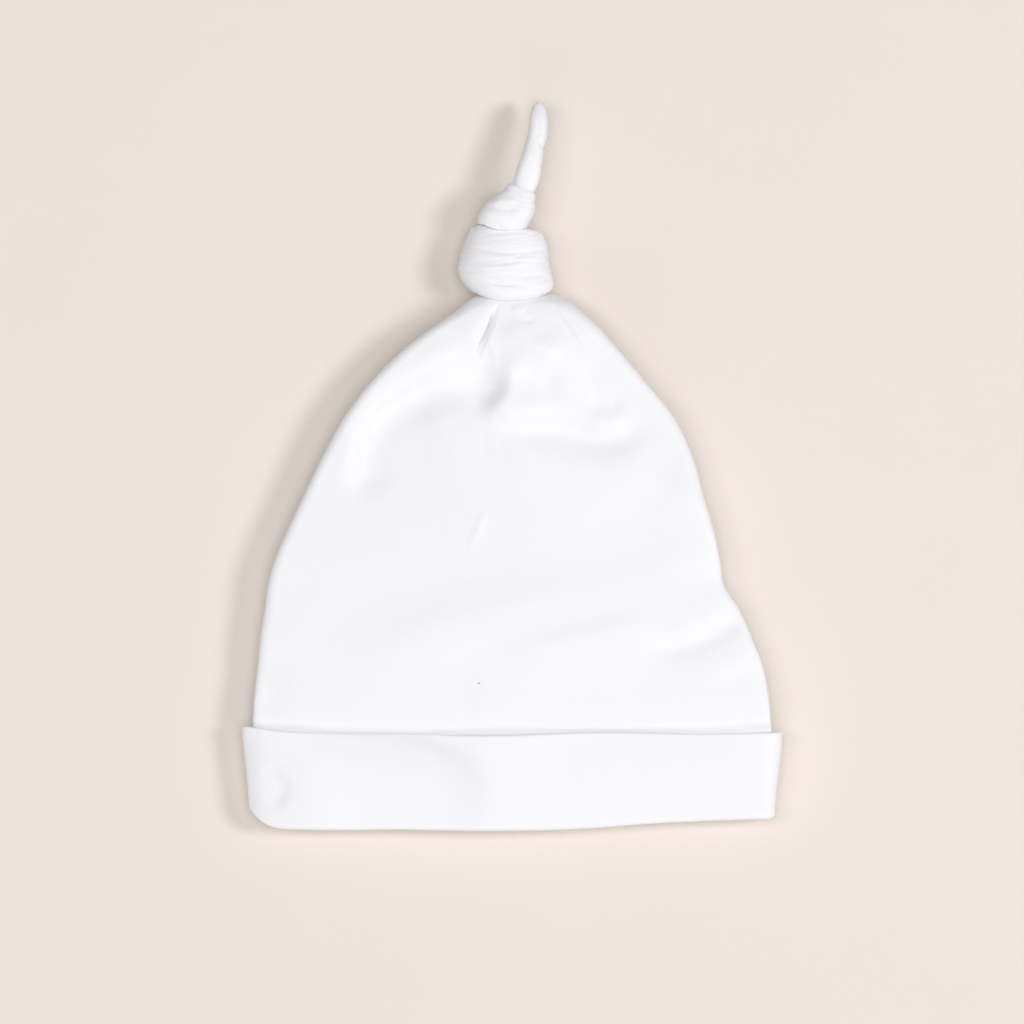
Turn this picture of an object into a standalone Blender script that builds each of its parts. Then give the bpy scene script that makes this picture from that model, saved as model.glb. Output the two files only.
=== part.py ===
"""A newborn's knotted cap in white cotton jersey, lying flat on its back.

The crown is a bell-shaped bag of thin cloth, open at its wide end. Its top is gathered into a neck that
passes through the knot. The knot is a thick turn of cloth round the neck and a smaller one round the foot
of the tail, whose free end sticks out. A doubled cuff is turned up round the mouth.

Metres, +Z up. The origin is on the surface, under the middle of the cap. +Y runs from the mouth to the tip
of the tail, and +X is to the right when the cap is seen from above.
"""

import math
from collections import namedtuple

import bmesh
import bpy
import numpy as np

# Crown
CROWN_WIDTH = 0.158  # across the crown where it leaves the cuff
CROWN_LENGTH = 0.163  # from the folded edge of the mouth to the foot of the knot
CROWN_RISE = 0.015  # the crown's upper side above the surface, between its shoulders
CROWN_WALL = 0.0012  # two plies of fine jersey
PLEATS_ABOVE = 5  # pleats of the upper side where it runs into the knot
PLEATS_BELOW = 4
FOLD_FADE = 0.006  # its folds fade out over this length below the knot
FOLDS_FROM = 0.5  # the folds start at this share of a section's height, and are full at the next one
FOLDS_FULL = 0.88
KNOT_REACH = 0.8  # share of its length beyond which its heights follow the knot's depth

# Cuff
CUFF_HEIGHT = 0.0295  # from the folded edge of the mouth to the cuff's upper edge
CUFF_WALL = 0.0018  # a doubled band, pressed flat
CUFF_FLARE = 0.0013  # how far its upper edge stands off more than its lower one
FLARE_HELD = 0.75  # on top, its upper edge stands off this share less than at the sides
CUFF_RELEASE = 0.014  # past the cuff, the crown's back sinks to the surface over this length
EDGE_FADE = 2.0  # its uneven edges fade out of the crown over this many cuff heights

# Knot
NECK_RADIUS = 0.003  # the gathered cloth inside the knot, drawn tight
KNOT_SHIFT = -0.0017  # the knot sits a little left of the middle
KNOT_LEAN = 0.0022  # how far its upper side leans over the crown
WRAP_WIDTH = 0.029
WRAP_LENGTH = 0.0195
WRAP_DEPTH = 0.0175
COLLAR_LENGTH = 0.0119  # along the tail
COLLAR_BULK = 0.0053  # the thickest cloth of the small turn, on the left of the tail's foot

# Tail
TAIL_LENGTH = 0.0389  # from the top of the big turn to the tip
TAIL_WIDTH = 0.0079
TAIL_FLATNESS = 0.86  # its depth as a share of its width

PLY_GAP = 0.0003  # between pieces of cloth that touch

# How finely each piece is faceted
SECTION_STEPS = 400  # points of half a section before it is faceted
CROWN_AROUND = 60
CROWN_UPPER_SHARE = 0.6  # share of the facets that go to the upper side
BEND_SHARE = 0.3  # share of the facets that go where a section bends
CROWN_RINGS = 27
CROWN_CROWDING = 1.3  # above 1, its rings lie closer together towards the knot
CUFF_RINGS = 4
HEM_RINGS = 7
BRIM_RINGS = 5
WRAP_AROUND = 32
WRAP_RINGS = 22
WRAP_BORE_RINGS = 4
COLLAR_AROUND = 24
COLLAR_RINGS = 12
COLLAR_BORE_RINGS = 5
TAIL_AROUND = 16
TAIL_RINGS = 16
WELD = 1e-7  # points closer than this are the same point

MOUTH_Y = -(CROWN_LENGTH + WRAP_LENGTH + TAIL_LENGTH + PLY_GAP) / 2
CUFF_TOP_Y = MOUTH_Y + CUFF_HEIGHT
NECK_Y = MOUTH_Y + CROWN_LENGTH
WRAP_TOP_Y = NECK_Y + WRAP_LENGTH
KNOT_AXIS_Z = WRAP_DEPTH / 2
CUFF_LAYER = CUFF_WALL + PLY_GAP  # what the cuff takes up between the crown and the surface

# Sections of the crown. along: share of CROWN_LENGTH from the mouth. left, right: shares of half of
# CROWN_WIDTH. top, low: heights of the upper and under side, shares of CROWN_RISE, and of WRAP_DEPTH at the
# knot. fold: height of the side folds between them. flat: share of the width that lies flat. brow: share of
# the rise from the side folds that their rounding makes; a shallow arch makes the rest. round: how wide that
# rounding is, in shares of CROWN_WIDTH. gather: depth of the pleats.
CrownSection = namedtuple("CrownSection", "along left right top low fold flat brow round gather")
CROWN_SECTIONS = (
    CrownSection(0.000, 0.990, 0.984, 0.64, 0.00, 0.62, 0.94, 0.76, 0.018, 0.00),
    CrownSection(0.190, 1.000, 0.996, 0.73, 0.00, 0.62, 0.94, 0.76, 0.016, 0.00),
    CrownSection(0.240, 0.994, 0.987, 0.76, 0.00, 0.62, 0.94, 0.76, 0.016, 0.00),
    CrownSection(0.300, 0.981, 0.966, 0.79, 0.00, 0.62, 0.94, 0.76, 0.016, 0.00),
    CrownSection(0.360, 0.970, 0.920, 0.84, 0.00, 0.62, 0.94, 0.76, 0.016, 0.00),
    CrownSection(0.420, 0.951, 0.862, 0.87, 0.00, 0.62, 0.93, 0.76, 0.016, 0.00),
    CrownSection(0.455, 0.942, 0.815, 0.885, 0.00, 0.62, 0.93, 0.76, 0.016, 0.00),
    CrownSection(0.500, 0.918, 0.799, 0.91, 0.00, 0.63, 0.93, 0.76, 0.016, 0.00),
    CrownSection(0.560, 0.866, 0.774, 0.92, 0.00, 0.64, 0.92, 0.76, 0.016, 0.00),
    CrownSection(0.620, 0.808, 0.737, 0.925, 0.00, 0.66, 0.91, 0.76, 0.016, 0.00),
    CrownSection(0.700, 0.728, 0.690, 0.95, 0.00, 0.68, 0.89, 0.76, 0.017, 0.00),
    CrownSection(0.780, 0.634, 0.606, 1.00, 0.00, 0.70, 0.86, 0.76, 0.018, 0.01),
    CrownSection(0.840, 0.537, 0.503, 1.06, 0.00, 0.72, 0.80, 0.78, 0.020, 0.03),
    CrownSection(0.900, 0.411, 0.401, 1.05, 0.01, 0.72, 0.70, 0.80, 0.022, 0.06),
    CrownSection(0.950, 0.282, 0.313, 0.99, 0.04, 0.68, 0.52, 0.84, 0.030, 0.09),
    CrownSection(0.975, 0.213, 0.258, 0.94, 0.09, 0.60, 0.30, 0.90, 0.048, 0.11),
    CrownSection(1.000, 0.150, 0.192, 0.87, 0.15, 0.50, 0.12, 1.00, 0.076, 0.12),
)

# Dents and ridges of the upper side. across, along: the middle, in shares of half of CROWN_WIDTH and of
# CROWN_LENGTH. turn: degrees from +X to the fold's own line. reach, width: half its length and breadth, in
# shares of half of CROWN_WIDTH. height: share of CROWN_RISE, below 0 for a dent.
Fold = namedtuple("Fold", "name across along turn reach width height")
CROWN_FOLDS = (
    Fold("pocket under the knot", -0.11, 0.815, 103, 0.11, 0.075, -0.26),
    Fold("hollow of the left shoulder", -0.34, 0.755, 12, 0.32, 0.13, -0.22),
    Fold("left flap", -0.31, 0.885, 41, 0.22, 0.075, 0.13),
    Fold("crease beside the left flap", -0.10, 0.945, 73, 0.14, 0.045, -0.26),
    Fold("ridge below the knot", 0.07, 0.895, 155, 0.16, 0.06, 0.06),
    Fold("crease of the right flap", 0.21, 0.940, 121, 0.15, 0.040, -0.12),
    Fold("right flap", 0.36, 0.900, 133, 0.22, 0.06, 0.05),
    Fold("dimple of the right shoulder", 0.37, 0.790, 165, 0.10, 0.06, -0.06),
    Fold("hollow of the right shoulder", 0.44, 0.725, 4, 0.30, 0.06, -0.08),
    Fold("ridge of the right buckle", 0.70, 0.385, 24, 0.24, 0.06, 0.08),
    Fold("valley of the right buckle", 0.74, 0.330, 16, 0.26, 0.05, -0.09),
    Fold("long valley on the left", -0.42, 0.390, 21, 0.50, 0.09, -0.06),
    Fold("long valley on the right", 0.30, 0.375, 17, 0.36, 0.07, -0.045),
    Fold("centre crease", -0.085, 0.46, 92, 0.55, 0.07, 0.025),
)

# The lower and upper edge of the cuff aren't straight. across: share of half of CROWN_WIDTH. hem, brim: how
# far each edge lies up the cap from a straight line, in shares of CUFF_HEIGHT.
EdgeLine = namedtuple("EdgeLine", "across hem brim")
CUFF_EDGES = (
    EdgeLine(-1.03, 0.020, 0.070),
    EdgeLine(-0.82, 0.000, 0.010),
    EdgeLine(-0.42, 0.000, -0.015),
    EdgeLine(-0.05, -0.015, -0.020),
    EdgeLine(0.33, 0.018, 0.005),
    EdgeLine(0.51, 0.057, 0.000),
    EdgeLine(0.70, 0.084, -0.010),
    EdgeLine(1.03, 0.112, 0.010),
)

# Sections of the big turn. along: share of WRAP_LENGTH. left, right: shares of half of WRAP_WIDTH. upper,
# under: shares of half of WRAP_DEPTH.
WrapSection = namedtuple("WrapSection", "along left right upper under")
WRAP_SECTIONS = (
    WrapSection(0.00, 0.62, 0.84, 0.78, 0.74),
    WrapSection(0.06, 0.78, 0.95, 0.90, 0.88),
    WrapSection(0.14, 0.90, 0.98, 0.97, 0.97),
    WrapSection(0.29, 1.01, 0.94, 1.01, 1.03),
    WrapSection(0.48, 1.02, 0.88, 1.01, 1.04),
    WrapSection(0.67, 0.93, 0.86, 0.99, 1.00),
    WrapSection(0.81, 0.80, 0.80, 0.95, 0.92),
    WrapSection(0.90, 0.70, 0.72, 0.89, 0.82),
    WrapSection(0.96, 0.60, 0.62, 0.82, 0.70),
    WrapSection(1.00, 0.50, 0.50, 0.72, 0.56),
)

# Grooves between the pleats of a turn. along: where the groove crosses the front, a share of the turn's
# length. slant: how much higher it lies at the right side. sag: how much lower it lies at the front than at
# the sides. width: share of the length. depth: share of half of the knot's depth.
Groove = namedtuple("Groove", "along slant sag width depth")
WRAP_GROOVES = (
    Groove(0.15, -0.06, 0.12, 0.035, 0.070),
    Groove(0.30, 0.04, 0.10, 0.030, 0.045),
    Groove(0.47, 0.02, 0.06, 0.030, 0.050),
    Groove(0.64, -0.01, 0.02, 0.032, 0.065),
)

# Sections of the small turn, which is wound round the foot of the tail. along: share of COLLAR_LENGTH.
# left, right, deep: how thick it is at each side, and above and below the tail, in shares of COLLAR_BULK.
CollarSection = namedtuple("CollarSection", "along left right deep")
COLLAR_SECTIONS = (
    CollarSection(0.00, 0.72, 0.30, 0.34),
    CollarSection(0.16, 0.88, 0.34, 0.47),
    CollarSection(0.33, 0.98, 0.36, 0.54),
    CollarSection(0.50, 0.88, 0.38, 0.52),
    CollarSection(0.66, 0.58, 0.34, 0.44),
    CollarSection(0.83, 0.31, 0.18, 0.31),
    CollarSection(0.95, 0.24, 0.10, 0.18),
    CollarSection(1.00, 0.12, 0.06, 0.10),
)
COLLAR_CREASE = Groove(0.55, 0.16, 0.00, 0.10, 0.10)

# Sections of the tail. along: share of TAIL_LENGTH. across: shift from the knot's axis, in shares of
# TAIL_LENGTH. wide: share of TAIL_WIDTH. rise: height over the knot's axis, in shares of WRAP_DEPTH.
TailSection = namedtuple("TailSection", "along across wide rise")
TAIL_SECTIONS = (
    TailSection(0.000, 0.000, 1.02, 0.106),
    TailSection(0.148, 0.060, 0.94, 0.180),
    TailSection(0.290, 0.121, 0.86, 0.241),
    TailSection(0.400, 0.158, 0.95, 0.269),
    TailSection(0.540, 0.192, 0.77, 0.254),
    TailSection(0.640, 0.214, 0.66, 0.227),
    TailSection(0.758, 0.240, 0.60, 0.185),
    TailSection(0.867, 0.247, 0.56, 0.130),
    TailSection(0.945, 0.248, 0.40, 0.083),
    TailSection(0.985, 0.250, 0.22, 0.060),
    TailSection(1.000, 0.251, 0.10, 0.051),
)

COTTON = (0.92, 0.92, 0.94, 1.0)
CUFF_COTTON = (0.91, 0.91, 0.93, 1.0)
KNOT_COTTON = (0.90, 0.90, 0.915, 1.0)


def read(rows, column, at):
    """The smooth curve through one column of a table, read at a share of the length."""
    places = np.array([row.along for row in rows])
    values = np.array([getattr(row, column) for row in rows])
    return smooth(places, values, at)


def smooth(places, values, at):
    """Cubic curve through values at places, read at one or more points between them."""
    slopes = np.gradient(values, places)
    at = np.clip(at, places[0], places[-1])
    i = np.clip(np.searchsorted(places, at, side="right") - 1, 0, len(places) - 2)
    span = places[i + 1] - places[i]
    s = (at - places[i]) / span
    start = (1 + 2 * s) * (1 - s) ** 2 * values[i] + s * (1 - s) ** 2 * span * slopes[i]
    end = s * s * (3 - 2 * s) * values[i + 1] + s * s * (s - 1) * span * slopes[i + 1]
    return start + end


def ease(x):
    """0 below 0, 1 above 1, and a smooth step between."""
    x = np.clip(x, 0.0, 1.0)
    return x * x * (3 - 2 * x)


def spread(points, count):
    """The same line as fewer points, without its last one. They lie closer together where it bends."""
    steps = np.diff(points, axis=0)
    length = np.linalg.norm(steps, axis=1)
    heading = np.unwrap(np.arctan2(steps[:, 1], steps[:, 0]))
    bend = np.abs(np.gradient(heading))
    pace = (1 - BEND_SHARE) * length / length.sum() + BEND_SHARE * bend / bend.sum()
    travel = np.concatenate([[0.0], np.cumsum(pace)])
    at = np.arange(count) / count * travel[-1]
    return np.stack([np.interp(at, travel, points[:, 0]), np.interp(at, travel, points[:, 1])], axis=1)


def oval(part, low, top, count):
    """A flattened ring in X and Z: arched above, flat below, with round sides, from its right end round."""
    x_left, x_right = -part["left"] * CROWN_WIDTH / 2, part["right"] * CROWN_WIDTH / 2
    edge = low + part["fold"] * (top - low)
    middle, half = (x_left + x_right) / 2, (x_right - x_left) / 2
    line = -np.cos(np.linspace(0.0, math.pi, SECTION_STEPS))
    inset = np.clip((1 - np.abs(line)) * half / (part["round"] * CROWN_WIDTH), 0.0, 1.0)
    arch = part["brow"] * np.sqrt(1 - (1 - inset) ** 2) + (1 - part["brow"]) * (1 - line**2)
    upper = np.stack([middle - half * line, edge + (top - edge) * arch], axis=1)
    corner = np.clip((np.abs(line) - part["flat"]) / (1 - part["flat"]), 0.0, 1.0)
    drop = np.sqrt(1 - corner**2)
    under = np.stack([middle + half * line, edge - (edge - low) * drop], axis=1)
    above = round(count * CROWN_UPPER_SHARE)
    return np.concatenate([spread(upper, above), spread(under, count - above)])


def outward(ring):
    """The outward direction at each point of a closed ring in X and Z that runs from right over the top."""
    along = np.roll(ring, -1, axis=0) - np.roll(ring, 1, axis=0)
    across = np.stack([along[:, 1], -along[:, 0]], axis=1)
    return across / np.linalg.norm(across, axis=1)[:, None]


def pleats(count):
    """The pleats round a section of the crown: 0 on a ridge, 1 in a valley. Its side folds are ridges."""
    above = round(count * CROWN_UPPER_SHARE)
    upper = np.arange(above) / above * PLEATS_ABOVE
    under = np.arange(count - above) / (count - above) * PLEATS_BELOW
    return 0.5 - 0.5 * np.cos(2 * math.pi * np.concatenate([upper, under]))


def crown_ring(y, count):
    """The crown's outline at a place along the cap, without its dents and ridges."""
    along = np.clip((y - MOUTH_Y) / CROWN_LENGTH, 0.0, 1.0)
    part = {name: max(float(read(CROWN_SECTIONS, name, along)), 0.0) for name in CrownSection._fields[1:]}
    raised = CUFF_LAYER * (1 - ease((y - CUFF_TOP_Y - CUFF_LAYER) / CUFF_RELEASE))
    rise = CROWN_RISE + (WRAP_DEPTH - CROWN_RISE) * ease((along - KNOT_REACH) / (1 - KNOT_REACH))
    low = part["low"] * rise + raised
    top = part["top"] * rise
    ring = oval(part, low, top, count)
    middle = np.array([(ring[:, 0].min() + ring[:, 0].max()) / 2, low + part["fold"] * (top - low)])
    return middle + (ring - middle) * (1 - part["gather"] * pleats(count))[:, None]


def relief(x, y):
    """How far the dents and ridges of the upper side move it up at each place. They fade out at both ends."""
    half = CROWN_WIDTH / 2
    rise = np.zeros_like(x)
    for fold in CROWN_FOLDS:
        turn = math.radians(fold.turn)
        dx = x - fold.across * half
        dy = y - (MOUTH_Y + fold.along * CROWN_LENGTH)
        run = (dx * math.cos(turn) + dy * math.sin(turn)) / (fold.reach * half)
        side = (dy * math.cos(turn) - dx * math.sin(turn)) / (fold.width * half)
        rise += fold.height * CROWN_RISE * np.exp(-(run**2) - side**2)
    return rise * ease((y - CUFF_TOP_Y - CUFF_LAYER) / CUFF_RELEASE) * ease((NECK_Y - y) / FOLD_FADE)


def drift(x, y):
    """How far the uneven hem and brim lines move a point along the cap. It fades out past the cuff."""
    places = np.array([row.across for row in CUFF_EDGES])
    across = x / (CROWN_WIDTH / 2)
    hem = smooth(places, np.array([row.hem for row in CUFF_EDGES]), across)
    brim = smooth(places, np.array([row.brim for row in CUFF_EDGES]), across)
    level = (y - MOUTH_Y) / CUFF_HEIGHT
    share = np.clip(level, 0.0, 1.0)
    return CUFF_HEIGHT * (hem * (1 - share) + brim * share) * (1 - ease((level - 1) / EDGE_FADE))


def lean(y, z, reach):
    """How far the knot's upper side, and the crown that it lies on, move towards the mouth."""
    near = 1 - ease(np.abs(y - NECK_Y) / reach)
    return KNOT_LEAN * near * (z - KNOT_AXIS_Z) / KNOT_AXIS_Z


def crown_rings():
    """The crown from its mouth to the end of its neck inside the knot, as rings of points."""
    mouth_end = MOUTH_Y + fold_depth() + PLY_GAP
    rings = []
    for share in 1 - np.linspace(1.0, 0.0, CROWN_RINGS) ** CROWN_CROWDING:
        y = mouth_end + (NECK_Y - mouth_end) * share
        ring = crown_ring(y, CROWN_AROUND)
        x, z = ring[:, 0], ring[:, 1]
        height = (z - z.min()) / (z.max() - z.min())
        on_top = ease((height - FOLDS_FROM) / (FOLDS_FULL - FOLDS_FROM))
        z = z + relief(x, np.full_like(x, y)) * on_top
        rings.append(np.stack([x, y + drift(x, y) - lean(y, z, WRAP_DEPTH), z], axis=1))
    turn = np.arctan2(z - KNOT_AXIS_Z, x - KNOT_SHIFT)
    for y in (NECK_Y, (NECK_Y + WRAP_TOP_Y) / 2, WRAP_TOP_Y):
        x = KNOT_SHIFT + NECK_RADIUS * np.cos(turn)
        z = KNOT_AXIS_Z + NECK_RADIUS * np.sin(turn)
        rings.append(np.stack([x, y - lean(y, z, WRAP_LENGTH / 2), z], axis=1))
    return np.array(rings)


def fold_depth():
    """How far the cuff's folded lower edge reaches past the end of the crown's wall."""
    return (CUFF_LAYER + CROWN_WALL) / 2


def cuff_profile():
    """The cuff's section as (place along the cap, distance out from the crown's surface, flare share)."""
    depth, tip = fold_depth(), CUFF_WALL / 2
    inner, outer, lip = PLY_GAP, CUFF_LAYER, -CROWN_WALL
    middle = (outer + lip) / 2
    points = []
    for turn in np.linspace(0.0, math.pi, HEM_RINGS):
        points.append((MOUTH_Y + depth * (1 - math.sin(turn)), middle - depth * math.cos(turn), 0.0))
    for share in np.linspace(1 / CUFF_RINGS, 1.0, CUFF_RINGS):
        points.append((MOUTH_Y + depth + (CUFF_HEIGHT - tip - depth) * share, outer, share))
    for turn in np.linspace(0.0, math.pi, BRIM_RINGS)[1:-1]:
        points.append((CUFF_TOP_Y - tip * (1 - math.sin(turn)), inner + tip * (1 + math.cos(turn)), 1.0))
    for share in np.linspace(1.0, 0.0, CUFF_RINGS + 1):
        points.append((MOUTH_Y + depth + (CUFF_HEIGHT - tip - depth) * share, inner, share))
    return points


def cuff_rings():
    """The cuff as rings that run round its own section, with the first one repeated last."""
    rings = []
    for y, out, share in cuff_profile():
        ring = crown_ring(y, CROWN_AROUND)
        normal = outward(ring)
        free = np.clip(1 + normal[:, 1], 0.0, 1.0) * (1 - FLARE_HELD * np.clip(normal[:, 1], 0.0, 1.0))
        ring = ring + normal * (out + CUFF_FLARE * share**2 * free)[:, None]
        x, z = ring[:, 0], np.maximum(ring[:, 1], 0.0)
        rings.append(np.stack([x, y + drift(x, y), z], axis=1))
    return np.array(rings + rings[:1])


def wrap_ring(share, turn):
    """The outer surface of the big turn at a share of its length, at each angle round the neck."""
    side = np.cos(turn)
    half_width, half_depth = WRAP_WIDTH / 2, WRAP_DEPTH / 2
    wide = np.where(side > 0, read(WRAP_SECTIONS, "right", share), read(WRAP_SECTIONS, "left", share))
    up = np.sin(turn)
    deep = np.where(up > 0, read(WRAP_SECTIONS, "upper", share), read(WRAP_SECTIONS, "under", share))
    dent = 0.0
    for groove in WRAP_GROOVES:
        line = groove.along + groove.slant * side + groove.sag * side**2
        dent = dent + groove.depth * np.exp(-(((share - line) / groove.width) ** 2))
    x = KNOT_SHIFT + half_width * (wide - dent) * side
    z = np.maximum(KNOT_AXIS_Z + half_depth * (deep - dent) * up, 0.0)
    y = NECK_Y + PLY_GAP + (WRAP_LENGTH - PLY_GAP) * share
    return np.stack([x, y - lean(y, z, WRAP_LENGTH / 2), z], axis=1)


def wrap_rings():
    """The big turn of the knot: its outer surface from foot to top, then its bore, and round again."""
    turn = np.arange(WRAP_AROUND) / WRAP_AROUND * 2 * math.pi
    rings = [wrap_ring(share, turn) for share in np.linspace(0.0, 1.0, WRAP_RINGS)]
    bore = NECK_RADIUS + PLY_GAP
    for share in np.linspace(1.0, 0.0, WRAP_BORE_RINGS):
        y = NECK_Y + PLY_GAP + (WRAP_LENGTH - PLY_GAP) * share
        x = KNOT_SHIFT + bore * np.cos(turn)
        z = KNOT_AXIS_Z + bore * np.sin(turn)
        rings.append(np.stack([x, y - lean(y, z, WRAP_LENGTH / 2), z], axis=1))
    return np.array(rings + rings[:1])


def tail_ring(share, turn, grown=0.0):
    """The tail's surface at a share of its length, grown by a thickness. It is square to the tail's own line,
    except at the foot, where it turns square to the cap."""
    foot = WRAP_TOP_Y + PLY_GAP

    def middle(at):
        across = KNOT_SHIFT + TAIL_LENGTH * float(read(TAIL_SECTIONS, "across", at))
        rise = KNOT_AXIS_Z + WRAP_DEPTH * float(read(TAIL_SECTIONS, "rise", at))
        return np.array([across, foot + (TAIL_LENGTH - PLY_GAP) * at, rise])

    step = 0.02  # a small share, to find the tail's direction
    line = middle(min(share + step, 1.0)) - middle(max(share - step, 0.0))
    line[0] *= ease(share * TAIL_LENGTH / COLLAR_LENGTH)
    side = np.array([line[1], -line[0], 0.0]) / math.hypot(line[0], line[1])
    half = TAIL_WIDTH / 2 * float(read(TAIL_SECTIONS, "wide", share)) + grown
    depth = TAIL_WIDTH / 2 * TAIL_FLATNESS * float(read(TAIL_SECTIONS, "wide", share)) + grown
    up = np.array([0.0, 0.0, 1.0])
    return middle(share) + np.outer(half * np.cos(turn), side) + np.outer(depth * np.sin(turn), up)


def tail_rings():
    """The tail from its foot inside the knot to its tip."""
    turn = np.arange(TAIL_AROUND) / TAIL_AROUND * 2 * math.pi
    return np.array([tail_ring(share, turn) for share in np.linspace(0.0, 1.0, TAIL_RINGS)])


def collar_ring(share, turn):
    """The outer surface of the small turn at a share of its length."""
    side, up = np.cos(turn), np.sin(turn)
    thick = np.where(side > 0, read(COLLAR_SECTIONS, "right", share), read(COLLAR_SECTIONS, "left", share))
    thick = thick * side**2 + read(COLLAR_SECTIONS, "deep", share) * up**2
    line = COLLAR_CREASE.along + COLLAR_CREASE.slant * side
    crease = COLLAR_CREASE.depth * WRAP_DEPTH / 2 * np.exp(-(((share - line) / COLLAR_CREASE.width) ** 2))
    grown = PLY_GAP + COLLAR_BULK * thick - crease * np.clip(up, 0.0, 1.0)
    return tail_ring(share * COLLAR_LENGTH / TAIL_LENGTH, turn, grown)


def collar_rings():
    """The small turn round the foot of the tail: its outer surface, then its bore, and round again."""
    turn = np.arange(COLLAR_AROUND) / COLLAR_AROUND * 2 * math.pi
    rings = [collar_ring(share, turn) for share in np.linspace(0.0, 1.0, COLLAR_RINGS)]
    top = COLLAR_LENGTH / TAIL_LENGTH
    rings += [tail_ring(share, turn, PLY_GAP) for share in np.linspace(top, 0.0, COLLAR_BORE_RINGS)]
    return np.array(rings + rings[:1])


def skin(name, rings, material, collection, close_beyond=None):
    """A grid laid over rings of points and welded round. Open rings beyond a place along the cap are closed."""
    count, around = rings.shape[:2]
    mesh = bpy.data.meshes.new(name)
    bm = bmesh.new()
    bmesh.ops.create_grid(bm, x_segments=around, y_segments=count - 1, size=1.0)
    for vertex in bm.verts:
        column = round((vertex.co.x + 1) / 2 * around)
        row = round((vertex.co.y + 1) / 2 * (count - 1))
        vertex.co = rings[row, column % around]
    bmesh.ops.remove_doubles(bm, verts=bm.verts[:], dist=WELD)
    if close_beyond is not None:
        rims = [e for e in bm.edges if e.is_boundary and min(v.co.y for v in e.verts) > close_beyond]
        bmesh.ops.holes_fill(bm, edges=rims, sides=0)
    bmesh.ops.recalc_face_normals(bm, faces=bm.faces[:])
    bm.to_mesh(mesh)
    bm.free()
    mesh.shade_smooth()
    mesh.materials.append(material)
    piece = bpy.data.objects.new(name, mesh)
    collection.objects.link(piece)
    return piece


def cloth(name, colour):
    """Matt cotton."""
    material = bpy.data.materials.new(name)
    material.use_nodes = True
    shader = material.node_tree.nodes["Principled BSDF"]
    shader.inputs["Base Color"].default_value = colour
    shader.inputs["Roughness"].default_value = 0.9
    shader.inputs["Metallic"].default_value = 0.0
    return material


def give_wall(piece, thickness):
    """Gives an open surface its thickness, inwards."""
    wall = piece.modifiers.new("wall", "SOLIDIFY")
    wall.thickness = thickness
    wall.offset = -1.0
    wall.use_rim = True


def clear_scene():
    for old in list(bpy.data.objects):
        bpy.data.objects.remove(old, do_unlink=True)


def build():
    clear_scene()
    cap = bpy.data.collections.new("knotted_cap")
    bpy.context.scene.collection.children.link(cap)
    crown = skin("crown", crown_rings(), cloth("crown_cotton", COTTON), cap, close_beyond=NECK_Y)
    give_wall(crown, CROWN_WALL)
    skin("cuff", cuff_rings(), cloth("cuff_cotton", CUFF_COTTON), cap)
    skin("knot_wrap", wrap_rings(), cloth("wrap_cotton", KNOT_COTTON), cap)
    skin("knot_collar", collar_rings(), cloth("collar_cotton", KNOT_COTTON), cap)
    skin("tail", tail_rings(), cloth("tail_cotton", KNOT_COTTON), cap, close_beyond=NECK_Y)


if __name__ == "__main__":
    build()
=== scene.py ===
"""Dresses a newborn's knotted cap, lying flat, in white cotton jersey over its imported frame.

The crown, the cuff, the two turns of the knot and the tail are each a closed skin of cloth, laid over rings
of points that run across the cap, round the neck or round the tail. Tables of sections, close to the
frame's own, give their main form. Folds drawn as short lines, with the breadth of each side and a height,
give the rest.

Metres, +Z up, +Y from the mouth to the tip of the tail, +X to the right when the cap is seen from above.
"""

import math
from collections import namedtuple

import bmesh
import bpy
import numpy as np
from bpy.props import FloatProperty, FloatVectorProperty, PointerProperty
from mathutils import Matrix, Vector


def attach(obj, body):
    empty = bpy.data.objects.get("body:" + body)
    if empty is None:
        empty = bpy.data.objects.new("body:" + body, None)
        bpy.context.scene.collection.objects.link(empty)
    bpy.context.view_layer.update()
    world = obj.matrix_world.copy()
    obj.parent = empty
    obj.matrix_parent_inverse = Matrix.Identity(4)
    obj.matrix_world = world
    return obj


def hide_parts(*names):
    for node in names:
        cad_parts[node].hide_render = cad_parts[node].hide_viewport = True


bl_info = {
    "name": "Knotted Cap",
    "version": (1, 0, 0),
    "blender": (4, 5, 0),
    "location": "3D View > Sidebar > Cap",
    "description": "Builds a newborn's knotted cap in cotton jersey, its floor, lights and camera",
    "category": "Object",
}

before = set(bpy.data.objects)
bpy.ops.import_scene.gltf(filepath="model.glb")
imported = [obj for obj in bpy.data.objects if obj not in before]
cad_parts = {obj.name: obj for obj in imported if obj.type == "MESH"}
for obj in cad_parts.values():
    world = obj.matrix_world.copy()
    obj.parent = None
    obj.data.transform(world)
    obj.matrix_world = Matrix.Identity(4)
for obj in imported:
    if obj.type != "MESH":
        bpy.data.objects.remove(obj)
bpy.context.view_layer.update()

# Crown
CROWN_WIDTH = 0.158  # across the crown where it leaves the cuff
CROWN_LENGTH = 0.163  # from the folded edge of the mouth to the foot of the knot
CROWN_RISE = 0.015  # the crown's upper side above the surface, between its shoulders
CROWN_WALL = 0.0012  # two plies of fine jersey
FOLDS_FROM = 0.50  # the folds start at this share of a section's height, and are full at the next one
FOLDS_FULL = 0.88
FOLDS_STOP = 0.003  # its folds die out over this length below the knot
KNOT_REACH = 0.8  # share of its length beyond which its heights follow the knot's depth
SHOULDER = 0.0018  # it rounds in to its neck over this length
SHOULDER_KEEP = 0.60  # share of its width that is left where it meets the neck
UNDER_PLEATS = 7  # gathers of the under side at the knot

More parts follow.
